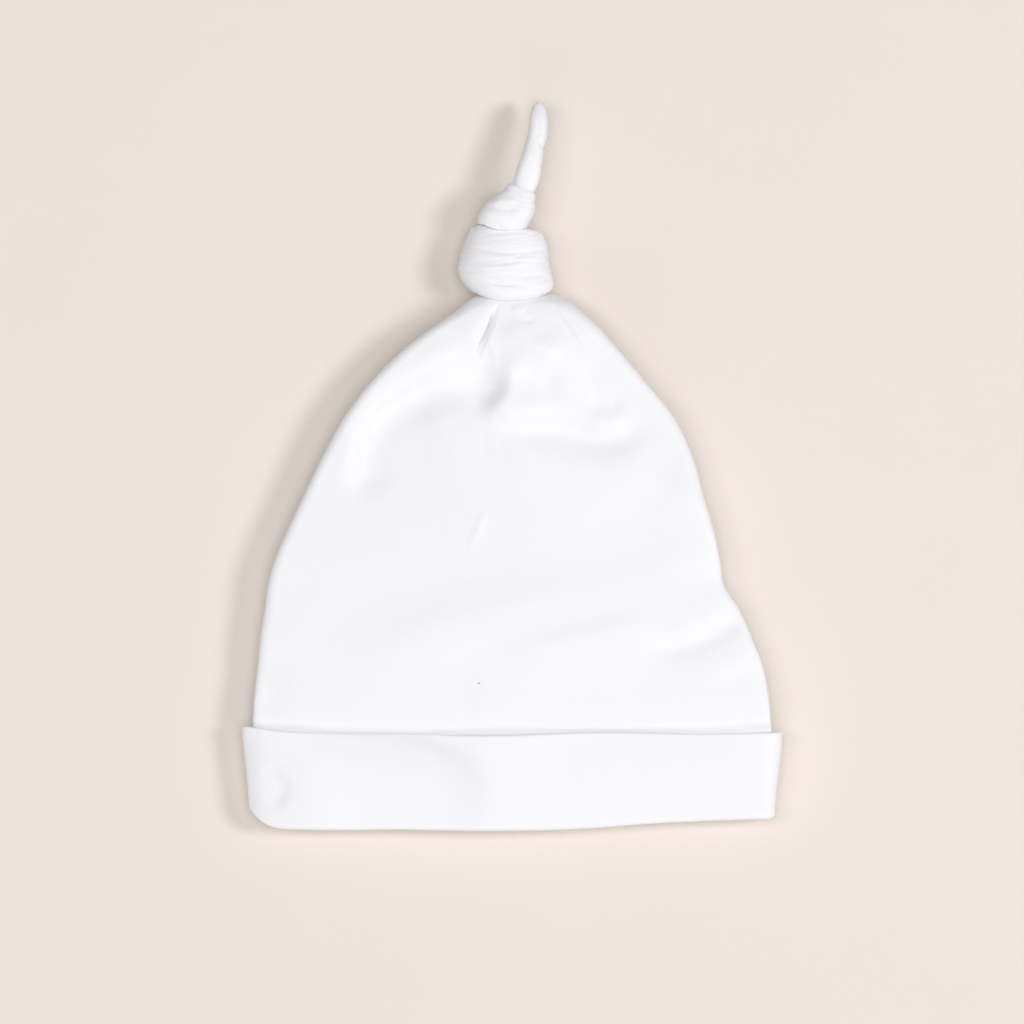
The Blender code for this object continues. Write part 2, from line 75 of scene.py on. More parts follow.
# Cuff
CUFF_HEIGHT = 0.0295  # from the folded edge of the mouth to the cuff's upper edge
CUFF_WALL = 0.0018  # a doubled band, pressed flat
CUFF_FLARE = 0.0013  # how far its upper edge stands off more than its lower one
FLARE_HELD = 0.75  # on top, the cuff's upper edge stands off this share less than at the sides
CUFF_RELEASE = 0.014  # past the cuff, the crown's back sinks to the surface over this length
EDGE_FADE = 2.0  # its uneven edges fade out of the crown over this many cuff heights

# Knot
NECK_RADIUS = 0.0030  # the gathered cloth inside the knot, drawn tight
KNOT_SHIFT = -0.0017  # the knot sits a little left of the middle
KNOT_LEAN = 0.0022  # how far its upper side leans over the crown
WRAP_WIDTH = 0.029
WRAP_LENGTH = 0.0195
WRAP_DEPTH = 0.0175
RIM_RISE = 0.0016  # how much further up the big turn reaches at its left side
RIM_FROM = 0.4  # that rise starts at this share of its length
BORE_RISE = 0.25  # share of that rise at the edge of the bore
FOOT_DROOP = 0.0009  # how far its foot hangs over the crown at the front
FOOT_SHARE = 0.3  # share of its length that hangs so
FOLD_CARRY = 0.0012  # under the knot, its folds run on this much nearer to the mouth
COLLAR_LENGTH = 0.0119  # along the tail
COLLAR_BULK = 0.0053  # the thickest cloth of the small turn, on the left of the tail's foot
COLLAR_DROOP = 0.0008  # how far its foot hangs over the big turn in front
COLLAR_SLANT = 0.0003  # how much further up the small turn's rim reaches at its left side
COLLAR_FOOT = 0.45  # share of its length that follows the big turn's rim
COLLAR_CALM = 0.15  # its folds fade out over this share of its length, at its rim

# Tail
TAIL_LENGTH = 0.0389  # from the top of the big turn to the tip
TAIL_WIDTH = 0.0079
TAIL_FLATNESS = 0.86  # its depth as a share of its width, inside the knot
FREE_FLATNESS = 1.2  # the same where it is free
TAIL_SQUARENESS = 0.82  # below 1, its section is squarer than an ellipse
TAIL_CALM = 0.8  # its pleats fade out from this share of its length on
TAIL_STEP = 0.02  # its heading is read between two places this share of its length away

PLY_GAP = 0.0003  # between pieces of cloth that touch

# How finely each piece is divided
SECTION_STEPS = 400  # points of half a section before it is divided
CROWN_AROUND = 300
CROWN_UPPER_SHARE = 0.76  # share of the points that go to the upper side
BEND_SHARE = 0.25  # share of the points that go where a section bends
CROWN_RINGS = 268
CROWN_CROWDING = 1.45  # above 1, its rings lie closer together towards the knot
LINING_RINGS = 48
LINING_BREADTH = 12  # its folds are at least this broad on each side, in the photograph's pixels
CUFF_AROUND = 280
CUFF_RINGS = 26
HEM_RINGS = 15
BRIM_RINGS = 11
WRAP_AROUND = 240
WRAP_RINGS = 150
COLLAR_AROUND = 180
COLLAR_RINGS = 90
BORE_RINGS = 5
TAIL_AROUND = 120
TAIL_RINGS = 190
FOLD_STEPS = 20  # straight steps that a fold's curve is drawn in
FOLD_REACH = 3.2  # a fold is felt as far from its line as this many times its broader side
WELD = 1e-7  # points closer than this are the same point

MOUTH_Y = -(CROWN_LENGTH + WRAP_LENGTH + TAIL_LENGTH + PLY_GAP) / 2
CUFF_TOP_Y = MOUTH_Y + CUFF_HEIGHT
NECK_Y = MOUTH_Y + CROWN_LENGTH
WRAP_TOP_Y = NECK_Y + WRAP_LENGTH
KNOT_AXIS_Z = WRAP_DEPTH / 2
CUFF_LAYER = CUFF_WALL + PLY_GAP  # what the cuff takes up between the crown and the surface

# Where the photograph's pixels lie on the cap
PIXEL = 0.00030387  # metres on the cap
PHOTO_SIZE = 1024
PHOTO_ORIGIN = (512.5, 465.25)

# Sections of the crown. along: share of CROWN_LENGTH from the mouth. left, right: shares of half of
# CROWN_WIDTH. top, low: heights of the upper and under side, shares of CROWN_RISE, and of WRAP_DEPTH at the
# knot. fold: height of the side folds between them. flat: share of the width that lies flat. brow: share of
# the rise from the side folds that their rounding makes; a shallow arch makes the rest. round: how wide that
# rounding is, in shares of CROWN_WIDTH. gather: depth of the gathers underneath.
CrownSection = namedtuple("CrownSection", "along left right top low fold flat brow round gather")
CROWN_SECTIONS = (
    CrownSection(0.000, 0.990, 0.984, 0.64, 0.00, 0.78, 0.94, 0.76, 0.020, 0.00),
    CrownSection(0.190, 1.000, 0.996, 0.73, 0.00, 0.80, 0.94, 0.76, 0.020, 0.00),
    CrownSection(0.240, 0.994, 0.987, 0.76, 0.00, 0.80, 0.94, 0.76, 0.020, 0.00),
    CrownSection(0.300, 0.981, 0.966, 0.79, 0.00, 0.80, 0.94, 0.76, 0.020, 0.00),
    CrownSection(0.360, 0.970, 0.920, 0.84, 0.00, 0.80, 0.94, 0.76, 0.020, 0.00),
    CrownSection(0.420, 0.951, 0.862, 0.87, 0.00, 0.80, 0.93, 0.76, 0.020, 0.00),
    CrownSection(0.455, 0.942, 0.815, 0.89, 0.00, 0.80, 0.93, 0.76, 0.020, 0.00),
    CrownSection(0.500, 0.918, 0.799, 0.92, 0.00, 0.80, 0.93, 0.76, 0.020, 0.00),
    CrownSection(0.560, 0.866, 0.774, 0.94, 0.00, 0.80, 0.92, 0.76, 0.020, 0.00),
    CrownSection(0.620, 0.808, 0.737, 0.95, 0.00, 0.80, 0.91, 0.76, 0.020, 0.00),
    CrownSection(0.700, 0.728, 0.690, 0.97, 0.00, 0.80, 0.89, 0.76, 0.020, 0.00),
    CrownSection(0.780, 0.634, 0.606, 1.01, 0.00, 0.80, 0.86, 0.76, 0.020, 0.02),
    CrownSection(0.840, 0.537, 0.503, 1.06, 0.00, 0.80, 0.80, 0.78, 0.022, 0.05),
    CrownSection(0.900, 0.411, 0.401, 1.05, 0.01, 0.78, 0.70, 0.80, 0.024, 0.09),
    CrownSection(0.950, 0.282, 0.313, 0.99, 0.04, 0.78, 0.52, 0.80, 0.024, 0.13),
    CrownSection(0.975, 0.213, 0.258, 0.95, 0.09, 0.74, 0.30, 0.82, 0.026, 0.15),
    CrownSection(1.000, 0.150, 0.192, 0.88, 0.15, 0.64, 0.12, 0.88, 0.036, 0.16),
)

# The lower and upper edge of the cuff aren't straight. across: share of half of CROWN_WIDTH. hem, brim: how
# far each edge lies up the cap from a straight line, in shares of CUFF_HEIGHT.
EdgeLine = namedtuple("EdgeLine", "across hem brim")
CUFF_EDGES = (
    EdgeLine(-1.03, 0.250, 0.070),
    EdgeLine(-0.98, 0.120, 0.052),
    EdgeLine(-0.93, 0.035, 0.036),
    EdgeLine(-0.88, 0.008, 0.022),
    EdgeLine(-0.82, 0.000, 0.010),
    EdgeLine(-0.42, 0.000, -0.015),
    EdgeLine(-0.05, -0.015, -0.020),
    EdgeLine(0.33, 0.018, 0.005),
    EdgeLine(0.51, 0.057, 0.000),
    EdgeLine(0.70, 0.084, -0.010),
    EdgeLine(1.03, 0.112, 0.010),
)

# Sections of the big turn. along: share of WRAP_LENGTH. left, right: shares of half of WRAP_WIDTH. upper,
# under: shares of half of WRAP_DEPTH.
WrapSection = namedtuple("WrapSection", "along left right upper under")
WRAP_SECTIONS = (
    WrapSection(0.00, 0.62, 0.84, 0.78, 0.74),
    WrapSection(0.06, 0.78, 0.95, 0.90, 0.88),
    WrapSection(0.14, 0.90, 0.98, 0.97, 0.97),
    WrapSection(0.29, 1.01, 0.94, 1.01, 1.03),
    WrapSection(0.48, 1.02, 0.88, 1.01, 1.04),
    WrapSection(0.67, 0.93, 0.86, 0.99, 1.00),
    WrapSection(0.81, 0.85, 0.82, 0.95, 0.92),
    WrapSection(0.90, 0.79, 0.77, 0.89, 0.82),
    WrapSection(0.96, 0.71, 0.70, 0.82, 0.70),
    WrapSection(1.00, 0.60, 0.58, 0.72, 0.56),
)

# Sections of the small turn, which is wound round the foot of the tail. along: share of COLLAR_LENGTH.
# left, right, deep: how thick it is at each side, and above and below the tail, in shares of COLLAR_BULK.
CollarSection = namedtuple("CollarSection", "along left right deep")
COLLAR_SECTIONS = (
    CollarSection(0.00, 0.90, 0.30, 0.34),
    CollarSection(0.16, 1.00, 0.34, 0.47),
    CollarSection(0.33, 1.05, 0.36, 0.54),
    CollarSection(0.50, 0.90, 0.38, 0.52),
    CollarSection(0.66, 0.58, 0.34, 0.44),
    CollarSection(0.83, 0.31, 0.18, 0.31),
    CollarSection(0.95, 0.24, 0.10, 0.18),
    CollarSection(1.00, 0.12, 0.06, 0.10),
)

# Sections of the tail. along: share of TAIL_LENGTH. across: shift from the knot's axis, in shares of
# TAIL_LENGTH. wide: share of TAIL_WIDTH. rise: height over the knot's axis, in shares of WRAP_DEPTH.
TailSection = namedtuple("TailSection", "along across wide rise")
TAIL_SECTIONS = (
    TailSection(0.000, 0.000, 1.02, 0.106),
    TailSection(0.148, 0.060, 0.94, 0.180),
    TailSection(0.290, 0.121, 0.86, 0.241),
    TailSection(0.400, 0.158, 0.95, 0.269),
    TailSection(0.540, 0.192, 0.84, 0.254),
    TailSection(0.640, 0.214, 0.76, 0.227),
    TailSection(0.758, 0.240, 0.74, 0.185),
    TailSection(0.867, 0.247, 0.70, 0.130),
    TailSection(0.945, 0.248, 0.51, 0.083),
    TailSection(0.985, 0.250, 0.28, 0.060),
    TailSection(1.000, 0.251, 0.10, 0.051),
)

# A fold is a curve on the cloth. line: its points, in the photograph's pixels. near, far: its breadth on the
# left and on the right of somebody walking along it, in pixels. height: millimetres, below 0 for a groove.
# lip: how far its crest leans over to the right, in millimetres. fade: share of its length over which each
# end dies out; at 0 its ends are round.
Fold = namedtuple("Fold", "name line near far height lip fade")
CROWN_FOLDS = (
    Fold("ridge of the left shoulder",
         ((472, 334), (453, 348), (430, 362), (404, 378), (380, 399), (362, 421), (352, 451), (346, 492)),
         10, 22, 1.1, 0, 0.22),
    Fold("flap beside the slit", ((485, 298), (481, 314), (474, 330), (464, 345)), 8, 24, 0.7, 0, 0.2),
    Fold("valley inside the ridge",
         ((506, 387), (490, 384), (474, 383), (455, 385), (433, 391), (409, 400), (386, 414), (371, 438),
          (365, 474), (364, 510)), 24, 12, -2.2, 0, 0.16),
    Fold("rise below the valley", ((390, 452), (428, 429), (468, 416), (520, 411), (570, 417)),
         26, 64, 2.5, 0, 0.36),
    Fold("wide hollow", ((350, 450), (400, 432), (450, 422), (510, 420), (566, 426)),
         44, 56, -1.9, 0, 0.34),
    Fold("recess beside the slit", ((498, 300), (494, 317), (489, 331), (482, 346), (474, 360)),
         24, 3.5, -1.0, 0.3, 0.3),
    Fold("slit", ((499, 301), (495, 317), (490, 331), (483, 346), (475, 362)), 1.9, 1.8, -3.5, 1.5, 0.45),
    Fold("pocket below the knot", ((484, 373), (491, 385), (485, 397)), 13, 27, -1.6, 0, 0),
    Fold("bank beside the pocket", ((503, 352), (511, 367), (515, 384), (509, 398), (495, 408), (478, 411)),
         66, 10, 1.15, 0, 0.3),
    Fold("thin pleat", ((489, 338), (494, 354), (498, 370)), 2.2, 2.2, 0.30, 0, 0.4),
    Fold("slanting band", ((494, 325), (517, 337), (541, 348), (570, 357)), 12, 8, 1.0, 0, 0.3),
    Fold("hollow under the slanting band", ((508, 374), (536, 380), (572, 385)), 14, 22, -1.3, 0, 0.42),
    Fold("swell in the middle", ((508, 406), (530, 411), (558, 414)), 14, 14, 0.25, 0, 0.4),
    Fold("small arc", ((507, 313), (523, 321), (540, 319)), 2.4, 2.8, -0.35, 0, 0.35),
    Fold("swell over the small arc", ((511, 307), (527, 311)), 4, 4, 0.40, 0, 0.3),
    Fold("second small arc", ((504, 323), (513, 332), (523, 342)), 2.4, 2.8, -0.30, 0, 0.35),
    Fold("right flap", ((552, 290), (560, 305), (571, 321), (582, 337), (593, 353)), 17, 5, 0.55, 0, 0.3),
    Fold("crease of the right flap", ((547, 296), (556, 311), (566, 326), (577, 341), (587, 356)),
         1.8, 2.6, -0.20, 0, 0.3),
    Fold("soft line on the right flap", ((563, 302), (578, 324), (590, 343), (597, 360)),
         4, 4, -0.25, 0, 0.35),
    Fold("run of the right flap", ((586, 350), (592, 378), (594, 398), (601, 416)), 13, 12, -0.4, 0, 0.35),
    Fold("dimple over the arc valley", ((584, 399), (606, 406), (628, 402)), 10, 9, -0.8, 0, 0.35),
    Fold("lip under the dimple", ((584, 420), (606, 427), (630, 419)), 10, 12, 0.65, 0, 0.35),
    Fold("arc valley", ((470, 433), (520, 430), (556, 431), (580, 436), (606, 440), (632, 434), (664, 418)),
         12, 15, -2.15, 0, 0.36),
    Fold("swell under the arc valley", ((500, 472), (550, 472), (610, 474), (670, 460)),
         24, 30, 0.9, 0, 0.3),
    Fold("short pinch", ((489, 507), (482, 520), (475, 536), (468, 554)), 4.5, 3.4, 0.40, 0, 0.35),
    Fold("rise to the right edge", ((672, 460), (703, 515), (722, 584)), 11, 46, 1.2, 0, 0.3),
    Fold("hollow beside the rise", ((622, 486), (640, 530), (652, 580)), 36, 70, -0.8, 0, 0.35),
    Fold("ridge of the right buckle", ((742, 594), (724, 609), (700, 622), (662, 634)),
         12, 30, 0.4, 0, 0.3),
    Fold("valley of the right buckle", ((758, 603), (738, 619), (716, 634), (688, 646), (636, 649)),
         11, 12, -1.35, 0, 0.3),
    Fold("swell under the right buckle", ((764, 640), (735, 664), (690, 676)), 10, 16, 0.5, 0, 0.3),
    Fold("long ridge on the left",
         ((306, 677), (362, 660), (418, 636), (468, 618), (530, 606), (600, 600), (655, 597)),
         26, 40, 1.6, 0, 0.4),
    Fold("long ridge on the right", ((486, 662), (548, 649), (606, 636), (672, 617)), 17, 34, 1.3, 0, 0.35),
    Fold("swell on the left", ((302, 590), (304, 640)), 18, 18, 0.4, 0, 0.4),
    Fold("dent at the left end", ((262, 650), (268, 690), (270, 722)), 18, 14, -0.7, 0, 0.3),
    Fold("pressed middle", ((489, 650), (488, 690), (487, 734)), 34, 16, 0.40, 0, 0.3),
    Fold("bulge over the cuff",
         ((240, 716.5), (340, 722.5), (430, 723.5), (520, 724.5), (620, 723.5), (700, 722.5), (784, 715.5)),
         58, 9, 1.6, 0, 0),
)
CUFF_FOLDS = (
    Fold("pressed middle", ((489, 728), (488, 780), (487, 836)), 60, 24, 0.80, 0, 0),
    Fold("slack left of the middle", ((270, 727), (386, 730), (442, 749), (470, 786), (479, 826)),
         14, 28, -1.6, 0, 0.32),
    Fold("rounded left end", ((244, 742), (246, 788), (254, 826)), 26, 10, -1.4, 0, 0),
    Fold("dimple at the left end", ((266, 764), (283, 787), (269, 810)), 9, 12, -0.85, 0, 0.25),
    Fold("swell at the left end", ((318, 774), (322, 804)), 34, 26, 0.70, 0, 0),
    Fold("slack under the brim", ((520, 737), (680, 738), (770, 736)), 8, 18, -0.6, 0, 0.3),
    Fold("swell on the right", ((540, 792), (620, 796), (700, 790)), 20, 22, 0.25, 0, 0.3),
    Fold("swell at the right end", ((752, 756), (760, 800)), 14, 12, 0.25, 0, 0.3),
)
WRAP_FOLDS = (
    Fold("crease under the rim", ((481, 236), (500, 233.5), (522, 233), (541, 236)),
         1.8, 2.0, -0.25, 0, 0.2),
    Fold("fine line under the rim", ((477, 242), (500, 240), (528, 240)), 1.5, 1.5, -0.14, 0, 0.3),
    Fold("fine line over the middle", ((468, 261), (490, 261.5), (512, 259), (541, 253.5)),
         1.6, 1.6, -0.20, 0, 0.25),
    Fold("upper crease", ((474, 247), (482, 250), (493, 252), (507, 254), (528, 253), (548, 249)),
         2.6, 1.9, -0.40, 0, 0.15),
    Fold("roll under the upper crease", ((484, 256), (507, 259), (530, 258), (547, 253)),
         2.4, 3.0, 0.22, 0, 0.2),
    Fold("shallow groove", ((494, 264), (510, 263.5), (522, 260)), 2.8, 2.8, -0.25, 0, 0.3),
    Fold("middle roll", ((474, 267), (491, 268.6), (505, 267.6), (519, 264.5), (532, 260.5)),
         3, 5, 0.35, 0, 0.2),
    Fold("slanting groove", ((519, 277.5), (532, 276), (547, 274)), 3, 3, -0.28, 0, 0.3),
    Fold("groove over the third fold", ((465, 267), (478, 272.5), (490, 277)), 2.2, 2.2, -0.28, 0, 0.3),
    Fold("third fold", ((468, 272), (479, 276), (489, 279.5)), 2.0, 2.2, 0.22, 0, 0.3),
    Fold("slit", ((487, 280), (494, 282.8), (503, 285), (519, 284.6)), 1.6, 1.6, -0.55, 0, 0.35),
    Fold("small swell", ((529, 283.5), (541, 282.5)), 5, 5, 0.25, 0, 0),
    Fold("foot roll", ((480, 287), (497, 292), (520, 293), (545, 288)), 5, 5, 0.35, 0, 0.15),
)
COLLAR_FOLDS = (
    Fold("upper roll", ((491, 203), (505, 201), (520, 203)), 3, 3, 0.30, 0, 0.25),
    Fold("wide groove", ((482, 207), (494, 208.6), (507, 210.5), (517, 213)), 3.4, 3.4, -0.60, 0, 0.25),
    Fold("main lobe", ((504, 217), (514, 216), (526, 214)), 6, 6, 0.35, 0, 0),
    Fold("lower roll", ((500, 224), (508, 229), (522, 231)), 2.6, 2.6, 0.35, 0, 0.2),
    Fold("left crease", ((480, 224), (485, 228.5), (491, 232.5)), 2, 2, -0.50, 0, 0.2),
)
TAIL_FOLDS = (
    Fold("twist", ((544, 152), (541, 143), (538, 130)), 2.4, 2.4, -0.40, 0, 0.25),
    Fold("flat of the upper lobe", ((539, 124), (537, 134)), 4, 4, -0.20, 0, 0),
    Fold("edge of the lower lobe", ((524, 160), (518, 176)), 3, 3, 0.15, 0, 0.3),
)

# Fine pleats of a stretched turn. count: along the turn. wander: how far they stray, in pleats.
# height: metres.
Pleating = namedtuple("Pleating", "count wander height")
WRAP_PLEATING = Pleating(11, 0.75, 0.000045)
COLLAR_PLEATING = Pleating(7, 0.50, 0.00005)
TAIL_PLEATING = Pleating(5, 0.60, 0.00003)

# A finish of the jersey. stretch: how much wider its stitches are than on the crown. relief: strength of the
# knit's bumps. change: how much its tone changes from place to place. speck: whether it has a fleck of lint.
Finish = namedtuple("Finish", "name stretch relief change speck")
CROWN_FINISH = Finish("crown_cotton", 1.0, 0.5, 0.014, True)
CUFF_FINISH = Finish("cuff_cotton", 1.0, 0.5, 0.014, False)
KNOT_FINISH = Finish("knot_cotton", 1.25, 0.6, 0.020, False)
TAIL_FINISH = Finish("tail_cotton", 1.1, 0.6, 0.020, False)
FLOOR_CHANGE = 0.02
LIGHT_REACH = 0.002  # how far light spreads inside the cloth
COLUMN_STRAY = 0.00016  # how far its columns of stitches wander
COLUMN_NOISE = 260.0  # scales of the noise that moves the columns
YARN_NOISE = 2600.0  # that makes the yarn uneven
FUZZ_NOISE = 900.0  # that gives it a fuzz
PATCH_NOISE = 28.0  # and that changes its tone
STITCH_PAINTED_SHADE = 0.965  # painted shade: how bright the bottom of a stitch is painted, beside its top

# A fleck of lint on the crown
SPECK = (-0.0102, -0.0662, 0.0135)
SPECK_SIZE = (0.00034, 0.00018, 0.0060)
SPECK_COLOUR = (0.22, 0.21, 0.20, 1.0)

# A soft light, aimed at the middle of the cap. heading: degrees from +X towards +Y. climb: degrees above the
# floor. away, size: metres.
Lamp = namedtuple("Lamp", "name heading climb away size")
KEY_LAMP = Lamp("key", 4, 45.6, 2.6, 0.74)
FILL_LAMP = Lamp("fill", 177, 62, 2.2, 0.70)
FRONT_LAMP = Lamp("front", -98, 25, 2.4, 1.90)
ABOVE_LAMP = Lamp("above", 0, 90, 3.0, 2.00)

# Floor and camera
FLOOR_HALF = 4.0
SENSOR = 36.0  # millimetres
SCALE_HEIGHT = 0.011  # where on the cap the photograph's scale holds


def ease(x):
    """0 below 0, 1 above 1, and a smooth step between."""
    x = np.clip(x, 0.0, 1.0)
    return x * x * (3 - 2 * x)


def smooth(places, values, at):
    """Cubic curve through values at places, read at one or more points between them."""
    slopes = np.gradient(values, places)
    at = np.clip(at, places[0], places[-1])
    i = np.clip(np.searchsorted(places, at, side="right") - 1, 0, len(places) - 2)
    span = places[i + 1] - places[i]
    s = (at - places[i]) / span
    start = (1 + 2 * s) * (1 - s) ** 2 * values[i] + s * (1 - s) ** 2 * span * slopes[i]
    end = s * s * (3 - 2 * s) * values[i + 1] + s * s * (s - 1) * span * slopes[i + 1]
    return start + end


def read(rows, column, at):
    """The smooth curve through one column of a table, read at a share of the length."""
    places = np.array([row.along for row in rows])
    values = np.array([getattr(row, column) for row in rows])
    return smooth(places, values, at)


def spread(points, count):
    """The same line as fewer points, without its last one. They lie closer together where it bends."""
    steps = np.diff(points, axis=0)
    length = np.linalg.norm(steps, axis=1)
    heading = np.unwrap(np.arctan2(steps[:, 1], steps[:, 0]))
    bend = np.abs(np.gradient(heading))
    pace = (1 - BEND_SHARE) * length / length.sum() + BEND_SHARE * bend / bend.sum()
    travel = np.concatenate([[0.0], np.cumsum(pace)])
    at = np.arange(count) / count * travel[-1]
    return np.stack([np.interp(at, travel, points[:, 0]), np.interp(at, travel, points[:, 1])], axis=1)


def oval(part, low, top, count):
    """A flattened ring in X and Z: arched above, flat below, with round sides, from its right end round."""
    x_left, x_right = -part["left"] * CROWN_WIDTH / 2, part["right"] * CROWN_WIDTH / 2
    edge = low + part["fold"] * (top - low)
    middle, half = (x_left + x_right) / 2, (x_right - x_left) / 2
    line = -np.cos(np.linspace(0.0, math.pi, SECTION_STEPS))
    inset = np.clip((1 - np.abs(line)) * half / (part["round"] * CROWN_WIDTH), 0.0, 1.0)
    arch = part["brow"] * np.sqrt(1 - (1 - inset) ** 2) + (1 - part["brow"]) * (1 - line**2)
    upper = np.stack([middle - half * line, edge + (top - edge) * arch], axis=1)
    corner = np.clip((np.abs(line) - part["flat"]) / (1 - part["flat"]), 0.0, 1.0)
    drop = np.sqrt(1 - corner**2)
    under = np.stack([middle + half * line, edge - (edge - low) * drop], axis=1)
    above = round(count * CROWN_UPPER_SHARE)
    return np.concatenate([spread(upper, above), spread(under, count - above)])


def outward(ring):
    """The outward direction at each point of a closed ring in X and Z that runs from right over the top."""
    along = np.roll(ring, -1, axis=0) - np.roll(ring, 1, axis=0)
    across = np.stack([along[:, 1], -along[:, 0]], axis=1)
    return across / np.linalg.norm(across, axis=1)[:, None]


def curve(points, count):
    """A smooth curve through a few points, as so many steps."""
    points = np.array(points, dtype=float)
    travel = np.concatenate([[0.0], np.cumsum(np.linalg.norm(np.diff(points, axis=0), axis=1))])
    at = np.linspace(0.0, travel[-1], count + 1)
    return np.stack([smooth(travel, points[:, 0], at), smooth(travel, points[:, 1], at)], axis=1)


def to_photo(places):
    """Places on the cap seen from above, in the photograph's pixels."""
    return np.stack([PHOTO_ORIGIN[0] + places[:, 0] / PIXEL, PHOTO_ORIGIN[1] - places[:, 1] / PIXEL], axis=1)


def fold_shift(fold, places):
    """How one fold moves the cloth at each place: across in X and Y, and up, in metres."""
    line = curve(fold.line, FOLD_STEPS)
    reach = FOLD_REACH * max(fold.near, fold.far)
    inside = np.all((places > line.min(axis=0) - reach) & (places < line.max(axis=0) + reach), axis=1)
    shift = np.zeros((len(places), 3))
    at = places[inside]
    if len(at) == 0:
        return shift
    lengths = np.linalg.norm(np.diff(line, axis=0), axis=1)
    travel = np.concatenate([[0.0], np.cumsum(lengths)])
    best = np.full(len(at), np.inf)
    along, side = np.zeros(len(at)), np.zeros(len(at))
    across = np.zeros((len(at), 2))
    for start, end, begun, length in zip(line[:-1], line[1:], travel, lengths):
        step = (end - start) / length
        run = np.clip((at - start) @ step, 0.0, length)
        gap = at - start - run[:, None] * step
        distance = np.linalg.norm(gap, axis=1)
        closer = distance < best
        best[closer] = distance[closer]
        along[closer] = begun + run[closer]
        side[closer] = (step[0] * gap[:, 1] - step[1] * gap[:, 0])[closer]
        across[closer] = (-step[1], step[0])
    tilt = np.divide(side, best, out=np.zeros_like(side), where=best > 0)
    width = fold.near + (fold.far - fold.near) * (0.5 + 0.5 * tilt)
    share = along / travel[-1]
    strength = np.exp(-((best / width) ** 2))
    if fold.fade:
        strength *= ease(share / fold.fade) * ease((1 - share) / fold.fade)
    shift[inside, 0] = across[:, 0] * fold.lip * strength
    shift[inside, 1] = -across[:, 1] * fold.lip * strength
    shift[inside, 2] = fold.height * strength
    return shift / 1000


def relief(folds, places):
    """How all the folds of a piece move its cloth at each place."""
    seen = to_photo(places)
    shift = np.zeros((len(places), 3))
    for fold in folds:
        shift += fold_shift(fold, seen)
    return shift


def crown_ring(y, count):
    """The crown's outline at a place along the cap, without its folds."""
    along = np.clip((y - MOUTH_Y) / CROWN_LENGTH, 0.0, 1.0)
    part = {name: max(float(read(CROWN_SECTIONS, name, along)), 0.0) for name in CrownSection._fields[1:]}
    raised = CUFF_LAYER * (1 - ease((y - CUFF_TOP_Y - CUFF_LAYER) / CUFF_RELEASE))
    rise = CROWN_RISE + (WRAP_DEPTH - CROWN_RISE) * ease((along - KNOT_REACH) / (1 - KNOT_REACH))
    low = part["low"] * rise + raised
    top = part["top"] * rise
    ring = oval(part, low, top, count)
    middle = np.array([(ring[:, 0].min() + ring[:, 0].max()) / 2, low + part["fold"] * (top - low)])
    above = round(count * CROWN_UPPER_SHARE)
    under = np.arange(count - above) / (count - above)
    gathers = np.concatenate([np.zeros(above), 0.5 - 0.5 * np.cos(2 * math.pi * UNDER_PLEATS * under)])
    return middle + (ring - middle) * (1 - part["gather"] * gathers)[:, None]


def drift(x, y):
    """How far the uneven hem and brim lines move a point along the cap. It fades out past the cuff."""
    places = np.array([row.across for row in CUFF_EDGES])
    across = x / (CROWN_WIDTH / 2)
    hem = smooth(places, np.array([row.hem for row in CUFF_EDGES]), across)
    brim = smooth(places, np.array([row.brim for row in CUFF_EDGES]), across)
    level = (y - MOUTH_Y) / CUFF_HEIGHT
    share = np.clip(level, 0.0, 1.0)
    return CUFF_HEIGHT * (hem * (1 - share) + brim * share) * (1 - ease((level - 1) / EDGE_FADE))


def lean(y, z, reach):
    """How far the knot's upper side, and the crown that it lies on, move towards the mouth."""
    near = 1 - ease(np.abs(y - NECK_Y) / reach)
    return KNOT_LEAN * near * (z - KNOT_AXIS_Z) / KNOT_AXIS_Z


def neck_ring(y, radius, turn):
    """A round ring about the knot's axis at a place along the cap, leaning as the knot does."""
    x = KNOT_SHIFT + radius * np.cos(turn)
    z = KNOT_AXIS_Z + radius * np.sin(turn)
    return np.stack([x, y - lean(y, z, WRAP_LENGTH / 2), z], axis=1)


def spokes(turn):
    """The direction out from an axis along Y at each angle round it."""
    return np.stack([np.cos(turn), np.zeros_like(turn), np.sin(turn)], axis=1)


def fold_depth():
    """How far the cuff's folded lower edge reaches past the end of the crown's wall."""
    return (CUFF_LAYER + CROWN_WALL) / 2


def mouth_end():
    """Where along the cap the crown's wall ends, just inside the cuff's folded lower edge."""
    return MOUTH_Y + fold_depth() + PLY_GAP


def crown_places():
    """The places along the cap of the crown's rings. They lie closer together towards the knot."""
    start = mouth_end()
    return start + (NECK_Y - start) * (1 - np.linspace(1.0, 0.0, CROWN_RINGS) ** CROWN_CROWDING)


def rounded_in(ring, y):
    """A ring of the crown drawn in round the shoulder, where it turns down to the neck."""
    past = np.clip((y - (NECK_Y - SHOULDER)) / SHOULDER, 0.0, 1.0)
    keep = SHOULDER_KEEP + (1 - SHOULDER_KEEP) * math.sqrt(1 - past**2)
    neck = np.array([KNOT_SHIFT, KNOT_AXIS_Z])
    return neck + (ring - neck) * keep


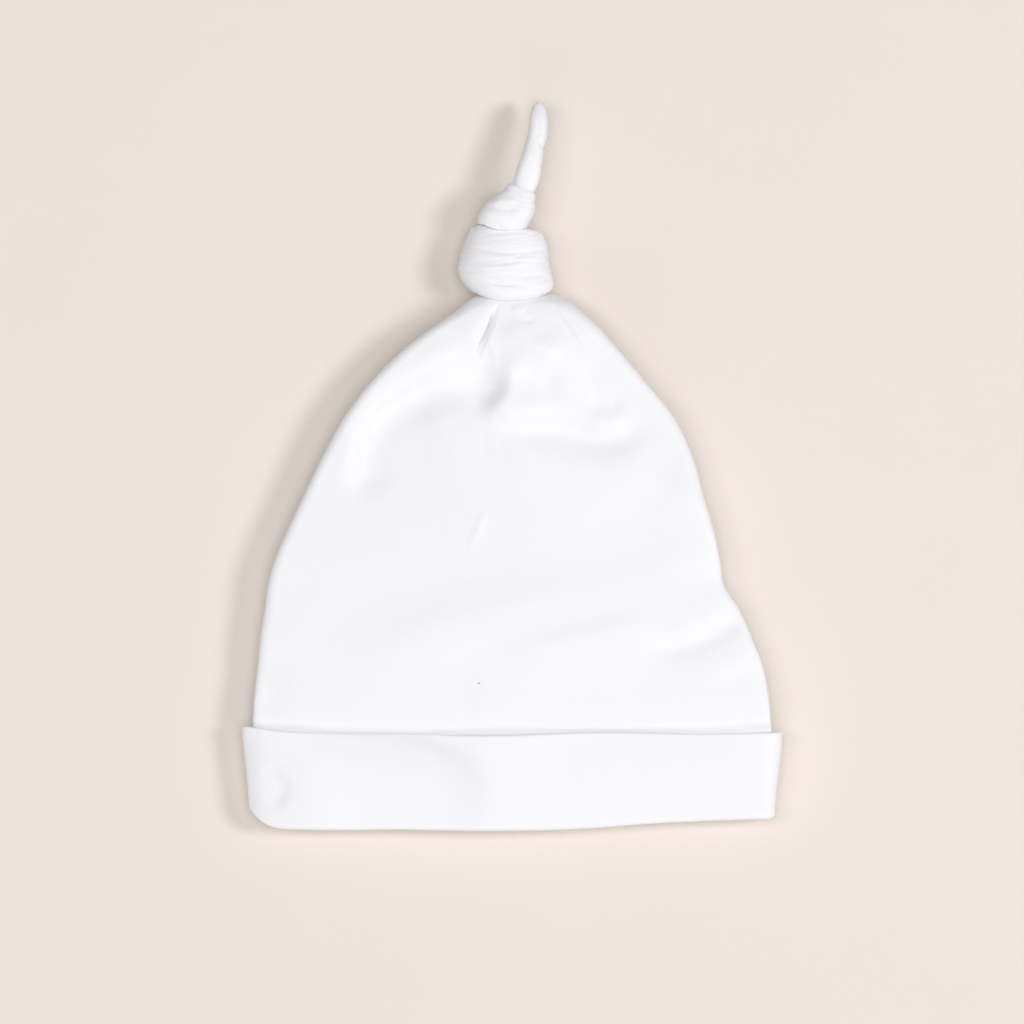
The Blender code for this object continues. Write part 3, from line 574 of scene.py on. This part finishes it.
def crown_rings(folding):
    """The crown from the end of its neck out to the mouth, and back inside as its lining."""
    rings = []
    for y in crown_places():
        ring = rounded_in(crown_ring(y, CROWN_AROUND), y)
        rings.append(folded_crown(ring, y, CROWN_FOLDS, folding))
    turn = np.arctan2(rings[-1][:, 2] - KNOT_AXIS_Z, rings[-1][:, 0] - KNOT_SHIFT)
    for y in (NECK_Y, (NECK_Y + WRAP_TOP_Y) / 2, WRAP_TOP_Y):
        rings.append(neck_ring(y, NECK_RADIUS, turn))
    rings.reverse()
    lining = lining_folds()
    for y in np.linspace(mouth_end(), NECK_Y - SHOULDER, LINING_RINGS):
        ring = crown_ring(y, CROWN_AROUND)
        ring = ring - outward(ring) * CROWN_WALL
        rings.append(folded_crown(ring, y, lining, folding))
    return np.array(rings)


def lining_folds():
    """The crown's folds as its lining takes them, with grooves widened and sharp ridges left out.

    The lining then stays below the outside between its wider rings."""
    folds = []
    for fold in CROWN_FOLDS:
        if fold.height < 0 or min(fold.near, fold.far) >= LINING_BREADTH:
            near, far = max(fold.near, LINING_BREADTH), max(fold.far, LINING_BREADTH)
            folds.append(fold._replace(near=near, far=far, lip=0.0))
    return folds


def folded_crown(ring, y, folds, folding):
    """A ring of the crown as points, with its folds pressed in."""
    x, z = ring[:, 0], ring[:, 1]
    height = (z - z.min()) / (z.max() - z.min())
    on_top = ease((height - FOLDS_FROM) / (FOLDS_FULL - FOLDS_FROM))
    on_top *= ease((y - CUFF_TOP_Y) / CUFF_LAYER * 2) * ease((NECK_Y - y) / FOLDS_STOP)
    places = np.stack([x, y + drift(x, y) - lean(y, z, WRAP_DEPTH)], axis=1)
    shift = relief(folds, places) * on_top[:, None] * folding
    return np.column_stack([places, z]) + shift


def cuff_profile():
    """The cuff's section as (place along the cap, distance out from the crown's surface, flare share)."""
    depth, tip = fold_depth(), CUFF_WALL / 2
    inner, outer, lip = PLY_GAP, CUFF_LAYER, -CROWN_WALL
    middle = (outer + lip) / 2
    points = []
    for turn in np.linspace(0.0, math.pi, HEM_RINGS):
        points.append((MOUTH_Y + depth * (1 - math.sin(turn)), middle - depth * math.cos(turn), 0.0))
    for share in np.linspace(1 / CUFF_RINGS, 1.0, CUFF_RINGS):
        points.append((MOUTH_Y + depth + (CUFF_HEIGHT - tip - depth) * share, outer, share))
    for turn in np.linspace(0.0, math.pi, BRIM_RINGS)[1:-1]:
        points.append((CUFF_TOP_Y - tip * (1 - math.sin(turn)), inner + tip * (1 + math.cos(turn)), 1.0))
    for share in np.linspace(1.0, 0.0, CUFF_RINGS // 3 + 1):
        points.append((MOUTH_Y + depth + (CUFF_HEIGHT - tip - depth) * share, inner, share))
    return points


def cuff_rings(folding):
    """The cuff as rings that run round its own section, with the first one repeated last."""
    rings = []
    for y, out, share in cuff_profile():
        ring = crown_ring(y, CUFF_AROUND)
        normal = outward(ring)
        free = np.clip(1 + normal[:, 1], 0.0, 1.0) * (1 - FLARE_HELD * np.clip(normal[:, 1], 0.0, 1.0))
        ring = ring + normal * (out + CUFF_FLARE * share**2 * free)[:, None]
        x, z = ring[:, 0], np.maximum(ring[:, 1], 0.0)
        places = np.stack([x, y + drift(x, y)], axis=1)
        outside = ease((out - PLY_GAP) / CUFF_WALL) * np.clip(normal[:, 1], 0.0, 1.0)
        rise = relief(CUFF_FOLDS, places)[:, 2] * outside * folding
        rings.append(np.column_stack([places, z + rise]))
    return np.array(rings + rings[:1])


def pleating(kind, share, turn):
    """Fine pleats along a stretched turn, at a share of its length and at each angle round it."""
    stray = np.sin(turn + 0.6) + 0.5 * np.sin(2 * turn + 2.1 + 3 * share)
    stray = stray + 0.3 * np.sin(5 * turn + 9 * share)
    wave = np.sin(2 * math.pi * (kind.count * share + kind.wander * stray))
    fine = np.sin(2 * math.pi * (2.3 * kind.count * share + kind.wander * stray + 0.3))
    return kind.height * (wave + 0.4 * fine)


def creased(ring, axis, folds, depth):
    """A ring's points moved out from or in to an axis by the folds. Below the axis they run on, shifted."""
    out = ring - axis
    out[:, 1] = 0.0
    out /= np.linalg.norm(out, axis=1)[:, None]
    below = np.clip(-out[:, 2], 0.0, 1.0)
    places = ring[:, :2] + np.outer(below, (0.0, -FOLD_CARRY))
    return ring + out * (relief(folds, places)[:, 2] * depth)[:, None]


def wrap_ring(share, turn):
    """The outer surface of the big turn at a share of its length, at each angle round the neck."""
    side = np.cos(turn)
    half_width, half_depth = WRAP_WIDTH / 2, WRAP_DEPTH / 2
    wide = np.where(side > 0, read(WRAP_SECTIONS, "right", share), read(WRAP_SECTIONS, "left", share))
    up = np.sin(turn)
    deep = np.where(up > 0, read(WRAP_SECTIONS, "upper", share), read(WRAP_SECTIONS, "under", share))
    x = KNOT_SHIFT + half_width * wide * side
    z = np.maximum(KNOT_AXIS_Z + half_depth * deep * up, 0.0)
    y = NECK_Y + PLY_GAP + (WRAP_LENGTH - PLY_GAP) * share
    y = y + RIM_RISE * np.clip(-side, 0.0, 1.0) ** 2 * ease((share - RIM_FROM) / (1 - RIM_FROM))
    y = y - FOOT_DROOP * np.clip(up, 0.0, 1.0) ** 2 * (1 - ease(share / FOOT_SHARE))
    return np.stack([x, y - lean(y, z, WRAP_LENGTH / 2), z], axis=1)


def wrap_rings(folding, pleats):
    """The big turn of the knot: its outer surface from foot to top, then its bore, and round again."""
    turn = np.arange(WRAP_AROUND) / WRAP_AROUND * 2 * math.pi
    axis = np.array([KNOT_SHIFT, 0.0, KNOT_AXIS_Z])
    rings = []
    for share in np.linspace(0.0, 1.0, WRAP_RINGS):
        ring = creased(wrap_ring(share, turn), axis, WRAP_FOLDS, folding)
        ring = ring + spokes(turn) * (pleating(WRAP_PLEATING, share, turn) * pleats)[:, None]
        ring[:, 2] = np.maximum(ring[:, 2], 0.0)
        rings.append(ring)
    for share in np.linspace(1.0, 0.0, BORE_RINGS):
        y = NECK_Y + PLY_GAP + (WRAP_LENGTH - PLY_GAP) * share
        rings.append(neck_ring(y, NECK_RADIUS + PLY_GAP, turn))
    return np.array(rings + rings[:1])


def tail_middle(at):
    """The tail's own line at a share of its length."""
    across = KNOT_SHIFT + TAIL_LENGTH * float(read(TAIL_SECTIONS, "across", at))
    rise = KNOT_AXIS_Z + WRAP_DEPTH * float(read(TAIL_SECTIONS, "rise", at))
    return np.array([across, WRAP_TOP_Y + PLY_GAP + (TAIL_LENGTH - PLY_GAP) * at, rise])


def set_free(share):
    """0 where the small turn holds the tail, rising to 1 past it."""
    return ease((share * TAIL_LENGTH - COLLAR_LENGTH) / COLLAR_LENGTH)


def squared(wave):
    """A sine or cosine made fuller, so that a ring of the tail is squarer than an ellipse."""
    return np.sign(wave) * np.abs(wave) ** TAIL_SQUARENESS


def tail_ring(share, turn, grown=0.0):
    """The tail's surface at a share of its length, grown by a thickness.

    It is square to the tail's own line, except at the foot, where it turns square to the cap."""
    line = tail_middle(min(share + TAIL_STEP, 1.0)) - tail_middle(max(share - TAIL_STEP, 0.0))
    line[0] *= ease(share * TAIL_LENGTH / COLLAR_LENGTH)
    side = np.array([line[1], -line[0], 0.0]) / math.hypot(line[0], line[1])
    half = TAIL_WIDTH / 2 * float(read(TAIL_SECTIONS, "wide", share)) + grown
    free = set_free(share)
    flatness = TAIL_FLATNESS + (FREE_FLATNESS - TAIL_FLATNESS) * free
    depth = TAIL_WIDTH / 2 * flatness * float(read(TAIL_SECTIONS, "wide", share)) + grown
    up = np.array([0.0, 0.0, 1.0])
    across, rise = squared(np.cos(turn)), squared(np.sin(turn))
    return tail_middle(share) + np.outer(half * across, side) + np.outer(depth * rise, up)


def tail_rings(folding, pleats):
    """The tail from its foot inside the knot to its tip."""
    turn = np.arange(TAIL_AROUND) / TAIL_AROUND * 2 * math.pi
    rings = []
    for share in np.linspace(0.0, 1.0, TAIL_RINGS):
        thin = 1 - ease((share - TAIL_CALM) / (1 - TAIL_CALM))
        free = set_free(share)
        grown = pleating(TAIL_PLEATING, turn / (2 * math.pi), 4 * share + turn) * pleats * thin * free
        ring = tail_ring(share, turn, grown)
        rings.append(creased(ring, tail_middle(share), TAIL_FOLDS, folding * free))
    return np.array(rings)


def collar_slope(share, side, raised):
    """How far the small turn moves up the cap: by raised at its foot, and with its slant at its rim."""
    return raised * (1 - ease(share / COLLAR_FOOT)) - COLLAR_SLANT * side * share**2


def collar_ring(share, turn):
    """The outer surface of the small turn at a share of its length."""
    side, up = np.cos(turn), np.sin(turn)
    thick = np.where(side > 0, read(COLLAR_SECTIONS, "right", share), read(COLLAR_SECTIONS, "left", share))
    thick = thick * side**2 + read(COLLAR_SECTIONS, "deep", share) * up**2
    ring = tail_ring(share * COLLAR_LENGTH / TAIL_LENGTH, turn, PLY_GAP + COLLAR_BULK * thick)
    raised = RIM_RISE * np.clip(-side, 0.0, 1.0) ** 2 - COLLAR_DROOP * np.clip(up, 0.0, 1.0) ** 2
    ring[:, 1] += collar_slope(share, side, raised)
    return ring


def collar_rings(folding, pleats):
    """The small turn round the foot of the tail: its outer surface, then its bore, and round again."""
    turn = np.arange(COLLAR_AROUND) / COLLAR_AROUND * 2 * math.pi
    rings = []
    top = COLLAR_LENGTH / TAIL_LENGTH
    for share in np.linspace(0.0, 1.0, COLLAR_RINGS):
        free = ease((1 - share) / COLLAR_CALM) * folding
        ring = creased(collar_ring(share, turn), tail_middle(share * top), COLLAR_FOLDS, free)
        rings.append(ring + spokes(turn) * (pleating(COLLAR_PLEATING, share, turn) * pleats * free)[:, None])
    for share in np.linspace(1.0, 0.0, BORE_RINGS):
        ring = tail_ring(share * top, turn, PLY_GAP)
        side = np.cos(turn)
        ring[:, 1] += collar_slope(share, side, BORE_RISE * RIM_RISE * np.clip(-side, 0.0, 1.0) ** 2)
        rings.append(ring)
    return np.array(rings + rings[:1])


def cloth_map(rings, first):
    """Where each point of the rings lies on its cloth, in metres: across the rings and along them.

    The measure across starts from the column named first, so that the knit runs straight there."""
    closed = np.concatenate([rings, rings[:, :1]], axis=1)
    across = np.linalg.norm(np.diff(closed, axis=1), axis=2)
    across = np.concatenate([np.zeros((len(rings), 1)), np.cumsum(across, axis=1)], axis=1)
    across -= across[:, first : first + 1]
    along = np.linalg.norm(np.diff(rings[:, first], axis=0), axis=1)
    along = np.concatenate([[0.0], np.cumsum(along)])
    return np.stack([across, np.repeat(along[:, None], across.shape[1], axis=1)], axis=2)


def skin(name, rings, first, material):
    """A grid laid over rings of points and welded round. What is then still open is closed."""
    count, around = rings.shape[:2]
    flat = cloth_map(rings, first)
    mesh = bpy.data.meshes.new(name)
    bm = bmesh.new()
    bmesh.ops.create_grid(bm, x_segments=around, y_segments=count - 1, size=1.0)
    knit = bm.loops.layers.uv.new("cloth")
    for vertex in bm.verts:
        column = round((vertex.co.x + 1) / 2 * around)
        row = round((vertex.co.y + 1) / 2 * (count - 1))
        vertex.co = rings[row, column % around]
        place = flat[row, column]
        for loop in vertex.link_loops:
            loop[knit].uv = place
    bmesh.ops.remove_doubles(bm, verts=bm.verts[:], dist=WELD)
    rims = [edge for edge in bm.edges if edge.is_boundary]
    if rims:
        bmesh.ops.holes_fill(bm, edges=rims, sides=0)
    bmesh.ops.recalc_face_normals(bm, faces=bm.faces[:])
    bm.to_mesh(mesh)
    bm.free()
    mesh.shade_smooth()
    mesh.materials.append(material)
    piece = bpy.data.objects.new(name, mesh)
    bpy.context.scene.collection.objects.link(piece)
    return piece


class Board:
    """A node tree that is filled line by line."""

    def __init__(self, tree):
        self.tree = tree

    def add(self, kind, **values):
        """A new node of a kind, with its settings."""
        node = self.tree.nodes.new(kind)
        for name, value in values.items():
            setattr(node, name, value)
        return node

    def join(self, source, target):
        """Links one socket to another."""
        self.tree.links.new(source, target)

    def fill(self, socket, value):
        """Sets a socket to a value, or links it to one."""
        if isinstance(value, bpy.types.NodeSocket):
            self.join(value, socket)
        else:
            socket.default_value = value

    def sum(self, operation, *values):
        """The result of one piece of arithmetic on numbers or sockets."""
        node = self.add("ShaderNodeMath", operation=operation)
        for socket, value in zip(node.inputs, values):
            self.fill(socket, value)
        return node.outputs[0]

    def between(self, value, low, high):
        """value moved from 0..1 to low..high."""
        node = self.add("ShaderNodeMapRange")
        self.fill(node.inputs["Value"], value)
        self.fill(node.inputs["To Min"], low)
        self.fill(node.inputs["To Max"], high)
        return node.outputs["Result"]

    def noise(self, place, scale, detail):
        """Noise from 0 to 1 at a place."""
        node = self.add("ShaderNodeTexNoise")
        self.fill(node.inputs["Vector"], place)
        self.fill(node.inputs["Scale"], scale)
        self.fill(node.inputs["Detail"], detail)
        return node.outputs["Fac"]


def new_group(name, inputs, outputs):
    """A shader node group with its sockets, its board and its input node. inputs: name, kind, default."""
    tree = bpy.data.node_groups.new(name, "ShaderNodeTree")
    for socket, kind, value in inputs:
        made = tree.interface.new_socket(socket, in_out="INPUT", socket_type=kind)
        if value is not None:
            made.default_value = value
    for socket, kind in outputs:
        tree.interface.new_socket(socket, in_out="OUTPUT", socket_type=kind)
    board = Board(tree)
    return tree, board, board.add("NodeGroupInput"), board.add("NodeGroupOutput")


def jersey_knit():
    """Fine jersey: columns of V-shaped stitches, a little uneven. Puts out their height, and a painted shade
    that darkens the bottom of each stitch.
    """
    inputs = (
        ("Cloth", "NodeSocketVector", None),
        ("Wale", "NodeSocketFloat", 0.00055),
        ("Course", "NodeSocketFloat", 0.00042),
        ("Unevenness", "NodeSocketFloat", 0.3),
    )
    outputs = (("Height", "NodeSocketFloat"), ("Painted Shade", "NodeSocketFloat"))
    tree, board, given, result = new_group("jersey_knit", inputs, outputs)
    place = given.outputs["Cloth"]
    wander = board.noise(place, COLUMN_NOISE, 2.0)
    split = board.add("ShaderNodeSeparateXYZ")
    board.join(place, split.inputs[0])
    stray = board.between(wander, -COLUMN_STRAY, COLUMN_STRAY)
    across = board.sum("DIVIDE", board.sum("ADD", split.outputs["X"], stray), given.outputs["Wale"])
    along = board.sum("DIVIDE", split.outputs["Y"], given.outputs["Course"])
    off = board.sum("ABSOLUTE", board.sum("SUBTRACT", board.sum("FRACT", across), 0.5))
    aside = board.sum("ABSOLUTE", board.sum("SUBTRACT", off, 0.25))
    leg = board.sum("SUBTRACT", 1.0, board.sum("MULTIPLY", 4.0, aside))
    turn = board.sum("MULTIPLY", board.sum("ADD", along, board.sum("MULTIPLY", off, 1.1)), 2 * math.pi)
    loop = board.between(board.sum("MULTIPLY_ADD", board.sum("COSINE", turn), 0.5, 0.5), 0.45, 1.0)
    stitch = board.sum("MULTIPLY", board.sum("POWER", board.sum("MAXIMUM", leg, 0.0), 0.7), loop)
    yarn = board.noise(place, YARN_NOISE, 2.0)
    uneven = board.sum("MULTIPLY", board.sum("SUBTRACT", yarn, 0.5), given.outputs["Unevenness"])
    height = board.sum("ADD", stitch, uneven)
    board.join(height, result.inputs["Height"])
    # Painted shade: the colour is made darker where the knit is low, at the bottom of each stitch.
    board.join(board.between(height, STITCH_PAINTED_SHADE, 1.0), result.inputs["Painted Shade"])
    return tree


def tone_and_painted_shade():
    """Slow changes of tone over the cloth, darkened by the painted shade that it is given. Puts out a
    colour.
    """
    inputs = (
        ("Place", "NodeSocketVector", None),
        ("Colour", "NodeSocketColor", (0.9, 0.9, 0.92, 1.0)),
        ("Painted Shade", "NodeSocketFloat", 1.0),
        ("Change", "NodeSocketFloat", 0.015),
    )
    tree, board, given, result = new_group("tone_and_painted_shade", inputs, (("Colour", "NodeSocketColor"),))
    patch = board.noise(given.outputs["Place"], PATCH_NOISE, 3.0)
    low = board.sum("SUBTRACT", 1.0, given.outputs["Change"])
    # The random tone is multiplied by the painted shade that comes in.
    tone = board.sum("MULTIPLY", board.between(patch, low, 1.0), given.outputs["Painted Shade"])
    scale = board.add("ShaderNodeVectorMath", operation="SCALE")
    board.join(given.outputs["Colour"], scale.inputs[0])
    board.join(tone, scale.inputs["Scale"])
    board.join(scale.outputs["Vector"], result.inputs["Colour"])
    return tree


def group_for(make, name):
    """The node group of that name, made once."""
    return bpy.data.node_groups.get(name) or make()


def with_speck(board, place, colour):
    """The colour with a small dark fleck of lint at SPECK."""
    move = board.add("ShaderNodeMapping", vector_type="POINT")
    move.inputs["Location"].default_value = [-at / size for at, size in zip(SPECK, SPECK_SIZE)]
    move.inputs["Scale"].default_value = [1 / size for size in SPECK_SIZE]
    board.join(place, move.inputs["Vector"])
    length = board.add("ShaderNodeVectorMath", operation="LENGTH")
    board.join(move.outputs["Vector"], length.inputs[0])
    mix = board.add("ShaderNodeMix", data_type="RGBA")
    board.join(board.sum("LESS_THAN", length.outputs["Value"], 1.0), mix.inputs["Factor"])
    board.join(colour, mix.inputs["A"])
    mix.inputs["B"].default_value = SPECK_COLOUR
    return mix.outputs["Result"]


def jersey(finish, cloth):
    """White cotton jersey with its knit, its tone, painted shade at the bottom of its stitches and a soft
    sheen.
    """
    material = bpy.data.materials.new(finish.name)
    material.use_nodes = True
    board = Board(material.node_tree)
    shader = material.node_tree.nodes["Principled BSDF"]
    shader.inputs["Metallic"].default_value = 0.0
    shader.inputs["Sheen Weight"].default_value = cloth.sheen
    shader.inputs["Sheen Roughness"].default_value = 0.6
    shader.inputs["Specular IOR Level"].default_value = 0.25
    shader.inputs["Subsurface Weight"].default_value = cloth.glow
    shader.inputs["Subsurface Radius"].default_value = (1.0, 1.0, 1.0)
    shader.inputs["Subsurface Scale"].default_value = LIGHT_REACH
    where = board.add("ShaderNodeTexCoord")
    knit = board.add("ShaderNodeGroup")
    knit.node_tree = group_for(jersey_knit, "jersey_knit")
    board.join(where.outputs["UV"], knit.inputs["Cloth"])
    knit.inputs["Wale"].default_value = cloth.wale * finish.stretch
    knit.inputs["Course"].default_value = cloth.course
    tone = board.add("ShaderNodeGroup")
    tone.node_tree = group_for(tone_and_painted_shade, "tone_and_painted_shade")
    board.join(where.outputs["Object"], tone.inputs["Place"])
    # The knit's painted shade darkens the cloth's colour at the bottom of each stitch.
    board.join(knit.outputs["Painted Shade"], tone.inputs["Painted Shade"])
    tone.inputs["Colour"].default_value = (*cloth.colour, 1.0)
    tone.inputs["Change"].default_value = finish.change
    colour = tone.outputs["Colour"]
    if finish.speck:
        colour = with_speck(board, where.outputs["Object"], colour)
    board.join(colour, shader.inputs["Base Color"])
    fuzz = board.noise(where.outputs["Object"], FUZZ_NOISE, 3.0)
    board.join(board.between(fuzz, 0.82, 0.95), shader.inputs["Roughness"])
    height = board.sum("MULTIPLY_ADD", fuzz, 0.8, knit.outputs["Height"])
    bump = board.add("ShaderNodeBump")
    bump.inputs["Strength"].default_value = finish.relief
    bump.inputs["Distance"].default_value = cloth.knit_depth
    board.join(height, bump.inputs["Height"])
    board.join(bump.outputs["Normal"], shader.inputs["Normal"])
    return material


def make_floor(stage):
    """A plain pale floor, slightly uneven in tone."""
    mesh = bpy.data.meshes.new("floor")
    bm = bmesh.new()
    bmesh.ops.create_grid(bm, x_segments=1, y_segments=1, size=FLOOR_HALF)
    bm.to_mesh(mesh)
    bm.free()
    material = bpy.data.materials.new("floor_paint")
    material.use_nodes = True
    board = Board(material.node_tree)
    shader = material.node_tree.nodes["Principled BSDF"]
    shader.inputs["Roughness"].default_value = 0.95
    shader.inputs["Specular IOR Level"].default_value = 0.1
    where = board.add("ShaderNodeTexCoord")
    tone = board.add("ShaderNodeGroup")
    tone.node_tree = group_for(tone_and_painted_shade, "tone_and_painted_shade")
    board.join(where.outputs["Object"], tone.inputs["Place"])
    tone.inputs["Colour"].default_value = (*stage.floor, 1.0)
    tone.inputs["Change"].default_value = FLOOR_CHANGE
    board.join(tone.outputs["Colour"], shader.inputs["Base Color"])
    mesh.materials.append(material)
    floor = bpy.data.objects.new("floor", mesh)
    bpy.context.scene.collection.objects.link(floor)




def make_lights(scene, stage):
    """A key light on the right, weaker ones on the left and at the mouth, and broad light from above."""
    lamps = (KEY_LAMP, FILL_LAMP, FRONT_LAMP, ABOVE_LAMP)
    for lamp, power in zip(lamps, (stage.key, stage.fill, stage.front, stage.above)):
        light = bpy.data.lights.new(lamp.name, "AREA")
        light.shape = "DISK"
        light.size = lamp.size
        light.energy = power
        heading, climb = math.radians(lamp.heading), math.radians(lamp.climb)
        flat = lamp.away * math.cos(climb)
        place = Vector((flat * math.cos(heading), flat * math.sin(heading), lamp.away * math.sin(climb)))
        holder = bpy.data.objects.new(lamp.name, light)
        holder.location = place
        holder.rotation_mode = "QUATERNION"
        holder.rotation_quaternion = (-place).to_track_quat("-Z", "Y")
        scene.collection.objects.link(holder)
    world = bpy.data.worlds.new("surroundings")
    world.use_nodes = True
    world.node_tree.nodes["Background"].inputs["Color"].default_value = (1.0, 1.0, 1.0, 1.0)
    world.node_tree.nodes["Background"].inputs["Strength"].default_value = stage.around
    scene.world = world
    scene.view_settings.view_transform = "Standard"


def make_camera(scene, stage):
    """A camera straight over the cap, framed as the photograph is."""
    camera = bpy.data.cameras.new("camera")
    camera.sensor_width = SENSOR
    camera.lens = SENSOR * (stage.height - SCALE_HEIGHT) / (PHOTO_SIZE * PIXEL)
    camera.clip_end = 4 * stage.height
    holder = bpy.data.objects.new("camera", camera)
    middle = PHOTO_SIZE / 2
    holder.location = ((middle - PHOTO_ORIGIN[0]) * PIXEL, (PHOTO_ORIGIN[1] - middle) * PIXEL, stage.height)
    scene.collection.objects.link(holder)
    scene.camera = holder


def seat(piece, node):
    """The piece stands for a node of the frame, whose own part is hidden, and rides on the root body."""
    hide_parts(node)
    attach(piece, "root")


class CapCloth(bpy.types.PropertyGroup):
    """The cloth of the cap."""

    colour: FloatVectorProperty(
        name="Colour", description="Colour of the jersey", subtype="COLOR", size=3,
        default=(0.916, 0.912, 0.937), min=0.0, max=1.0)
    wale: FloatProperty(
        name="Wale", description="Width of one column of stitches", default=0.00055, unit="LENGTH",
        precision=5)
    course: FloatProperty(
        name="Course", description="Height of one row of stitches", default=0.00042, unit="LENGTH",
        precision=5)
    knit_depth: FloatProperty(
        name="Knit Depth", description="Depth of the stitches", default=0.00004, unit="LENGTH", precision=5)
    sheen: FloatProperty(
        name="Sheen", description="Soft sheen of the fibres", default=0.15, min=0.0, max=1.0)
    glow: FloatProperty(
        name="Glow", description="Share of light that spreads in the cloth", default=0.2, min=0.0, max=1.0)


class CapFolds(bpy.types.PropertyGroup):
    """How strongly the cap is folded and pleated."""

    crown: FloatProperty(name="Crown", description="Strength of the crown's folds", default=1.0)
    cuff: FloatProperty(name="Cuff", description="Strength of the cuff's dents", default=1.0)
    knot: FloatProperty(name="Knot", description="Strength of the knot's creases", default=1.0)
    pleats: FloatProperty(name="Pleats", description="Strength of the knot's fine pleats", default=1.0)


class CapStage(bpy.types.PropertyGroup):
    """The floor, the lights and the camera."""

    floor: FloatVectorProperty(
        name="Floor", description="Colour of the floor", subtype="COLOR", size=3,
        default=(0.810, 0.742, 0.677), min=0.0, max=1.0)
    key: FloatProperty(
        name="Key", description="Power of the light on the right", default=26.1, unit="POWER")
    fill: FloatProperty(
        name="Fill", description="Power of the light on the left", default=5.9, unit="POWER")
    front: FloatProperty(
        name="Front", description="Power of the light at the mouth", default=14.0, unit="POWER")
    above: FloatProperty(
        name="Above", description="Power of the light overhead", default=42.4, unit="POWER")
    around: FloatProperty(name="Around", description="Strength of the light from all round", default=0.16)
    height: FloatProperty(
        name="Camera Height", description="Height of the camera over the floor", default=2.6, unit="LENGTH")


class CAP_OT_crown(bpy.types.Operator):
    """Makes the crown, the bell-shaped bag of cloth with its gathered top"""

    bl_idname = "cap.crown"
    bl_label = "Crown"

    def execute(self, context):
        cloth = jersey(CROWN_FINISH, context.scene.cap_cloth)
        middle = round(CROWN_AROUND * CROWN_UPPER_SHARE / 2)
        rings = crown_rings(context.scene.cap_folds.crown)
        piece = skin("crown_cloth", rings, middle, cloth)
        seat(piece, "crown")
        return {"FINISHED"}


class CAP_OT_cuff(bpy.types.Operator):
    """Makes the cuff, the doubled band turned up round the mouth"""

    bl_idname = "cap.cuff"
    bl_label = "Cuff"

    def execute(self, context):
        cloth = jersey(CUFF_FINISH, context.scene.cap_cloth)
        middle = round(CUFF_AROUND * CROWN_UPPER_SHARE / 2)
        rings = cuff_rings(context.scene.cap_folds.cuff)
        piece = skin("cuff_cloth", rings, middle, cloth)
        seat(piece, "cuff")
        return {"FINISHED"}


class CAP_OT_knot(bpy.types.Operator):
    """Makes the two turns of the knot"""

    bl_idname = "cap.knot"
    bl_label = "Knot"

    def execute(self, context):
        folds = context.scene.cap_folds
        stretched = jersey(KNOT_FINISH, context.scene.cap_cloth)
        wrap = skin("wrap_cloth", wrap_rings(folds.knot, folds.pleats), WRAP_AROUND // 4, stretched)
        seat(wrap, "knot_wrap")
        collar = skin("collar_cloth", collar_rings(folds.knot, folds.pleats), COLLAR_AROUND // 4, stretched)
        seat(collar, "knot_collar")
        return {"FINISHED"}


class CAP_OT_tail(bpy.types.Operator):
    """Makes the tail, the rolled end of the cloth above the knot"""

    bl_idname = "cap.tail"
    bl_label = "Tail"

    def execute(self, context):
        folds = context.scene.cap_folds
        rolled = jersey(TAIL_FINISH, context.scene.cap_cloth)
        tail = skin("tail_cloth", tail_rings(folds.knot, folds.pleats), TAIL_AROUND // 4, rolled)
        seat(tail, "tail")
        return {"FINISHED"}


class CAP_OT_stage(bpy.types.Operator):
    """Makes the floor, the lights and the camera"""

    bl_idname = "cap.stage"
    bl_label = "Stage"

    def execute(self, context):
        stage = context.scene.cap_stage
        make_floor(stage)
        make_lights(context.scene, stage)
        make_camera(context.scene, stage)
        return {"FINISHED"}


class CAP_PT_panel(bpy.types.Panel):
    """Lists the cap's settings and the buttons that build it"""

    bl_label = "Knotted Cap"
    bl_idname = "CAP_PT_panel"
    bl_space_type = "VIEW_3D"
    bl_region_type = "UI"
    bl_category = "Cap"

    def draw(self, context):
        layout = self.layout
        for group in (context.scene.cap_cloth, context.scene.cap_folds, context.scene.cap_stage):
            box = layout.box()
            for name in group.__annotations__:
                box.prop(group, name)
        for operator in OPERATORS:
            layout.operator(operator.bl_idname)


OPERATORS = (CAP_OT_crown, CAP_OT_cuff, CAP_OT_knot, CAP_OT_tail, CAP_OT_stage)
CLASSES = (CapCloth, CapFolds, CapStage, *OPERATORS, CAP_PT_panel)


def register():
    for kind in CLASSES:
        bpy.utils.register_class(kind)
    bpy.types.Scene.cap_cloth = PointerProperty(type=CapCloth)
    bpy.types.Scene.cap_folds = PointerProperty(type=CapFolds)
    bpy.types.Scene.cap_stage = PointerProperty(type=CapStage)


def unregister():
    del bpy.types.Scene.cap_stage
    del bpy.types.Scene.cap_folds
    del bpy.types.Scene.cap_cloth
    for kind in reversed(CLASSES):
        bpy.utils.unregister_class(kind)


def main():
    """Builds everything."""
    register()
    bpy.ops.cap.stage()
    bpy.ops.cap.crown()
    bpy.ops.cap.cuff()
    bpy.ops.cap.knot()
    bpy.ops.cap.tail()


if __name__ == "__main__":
    main()
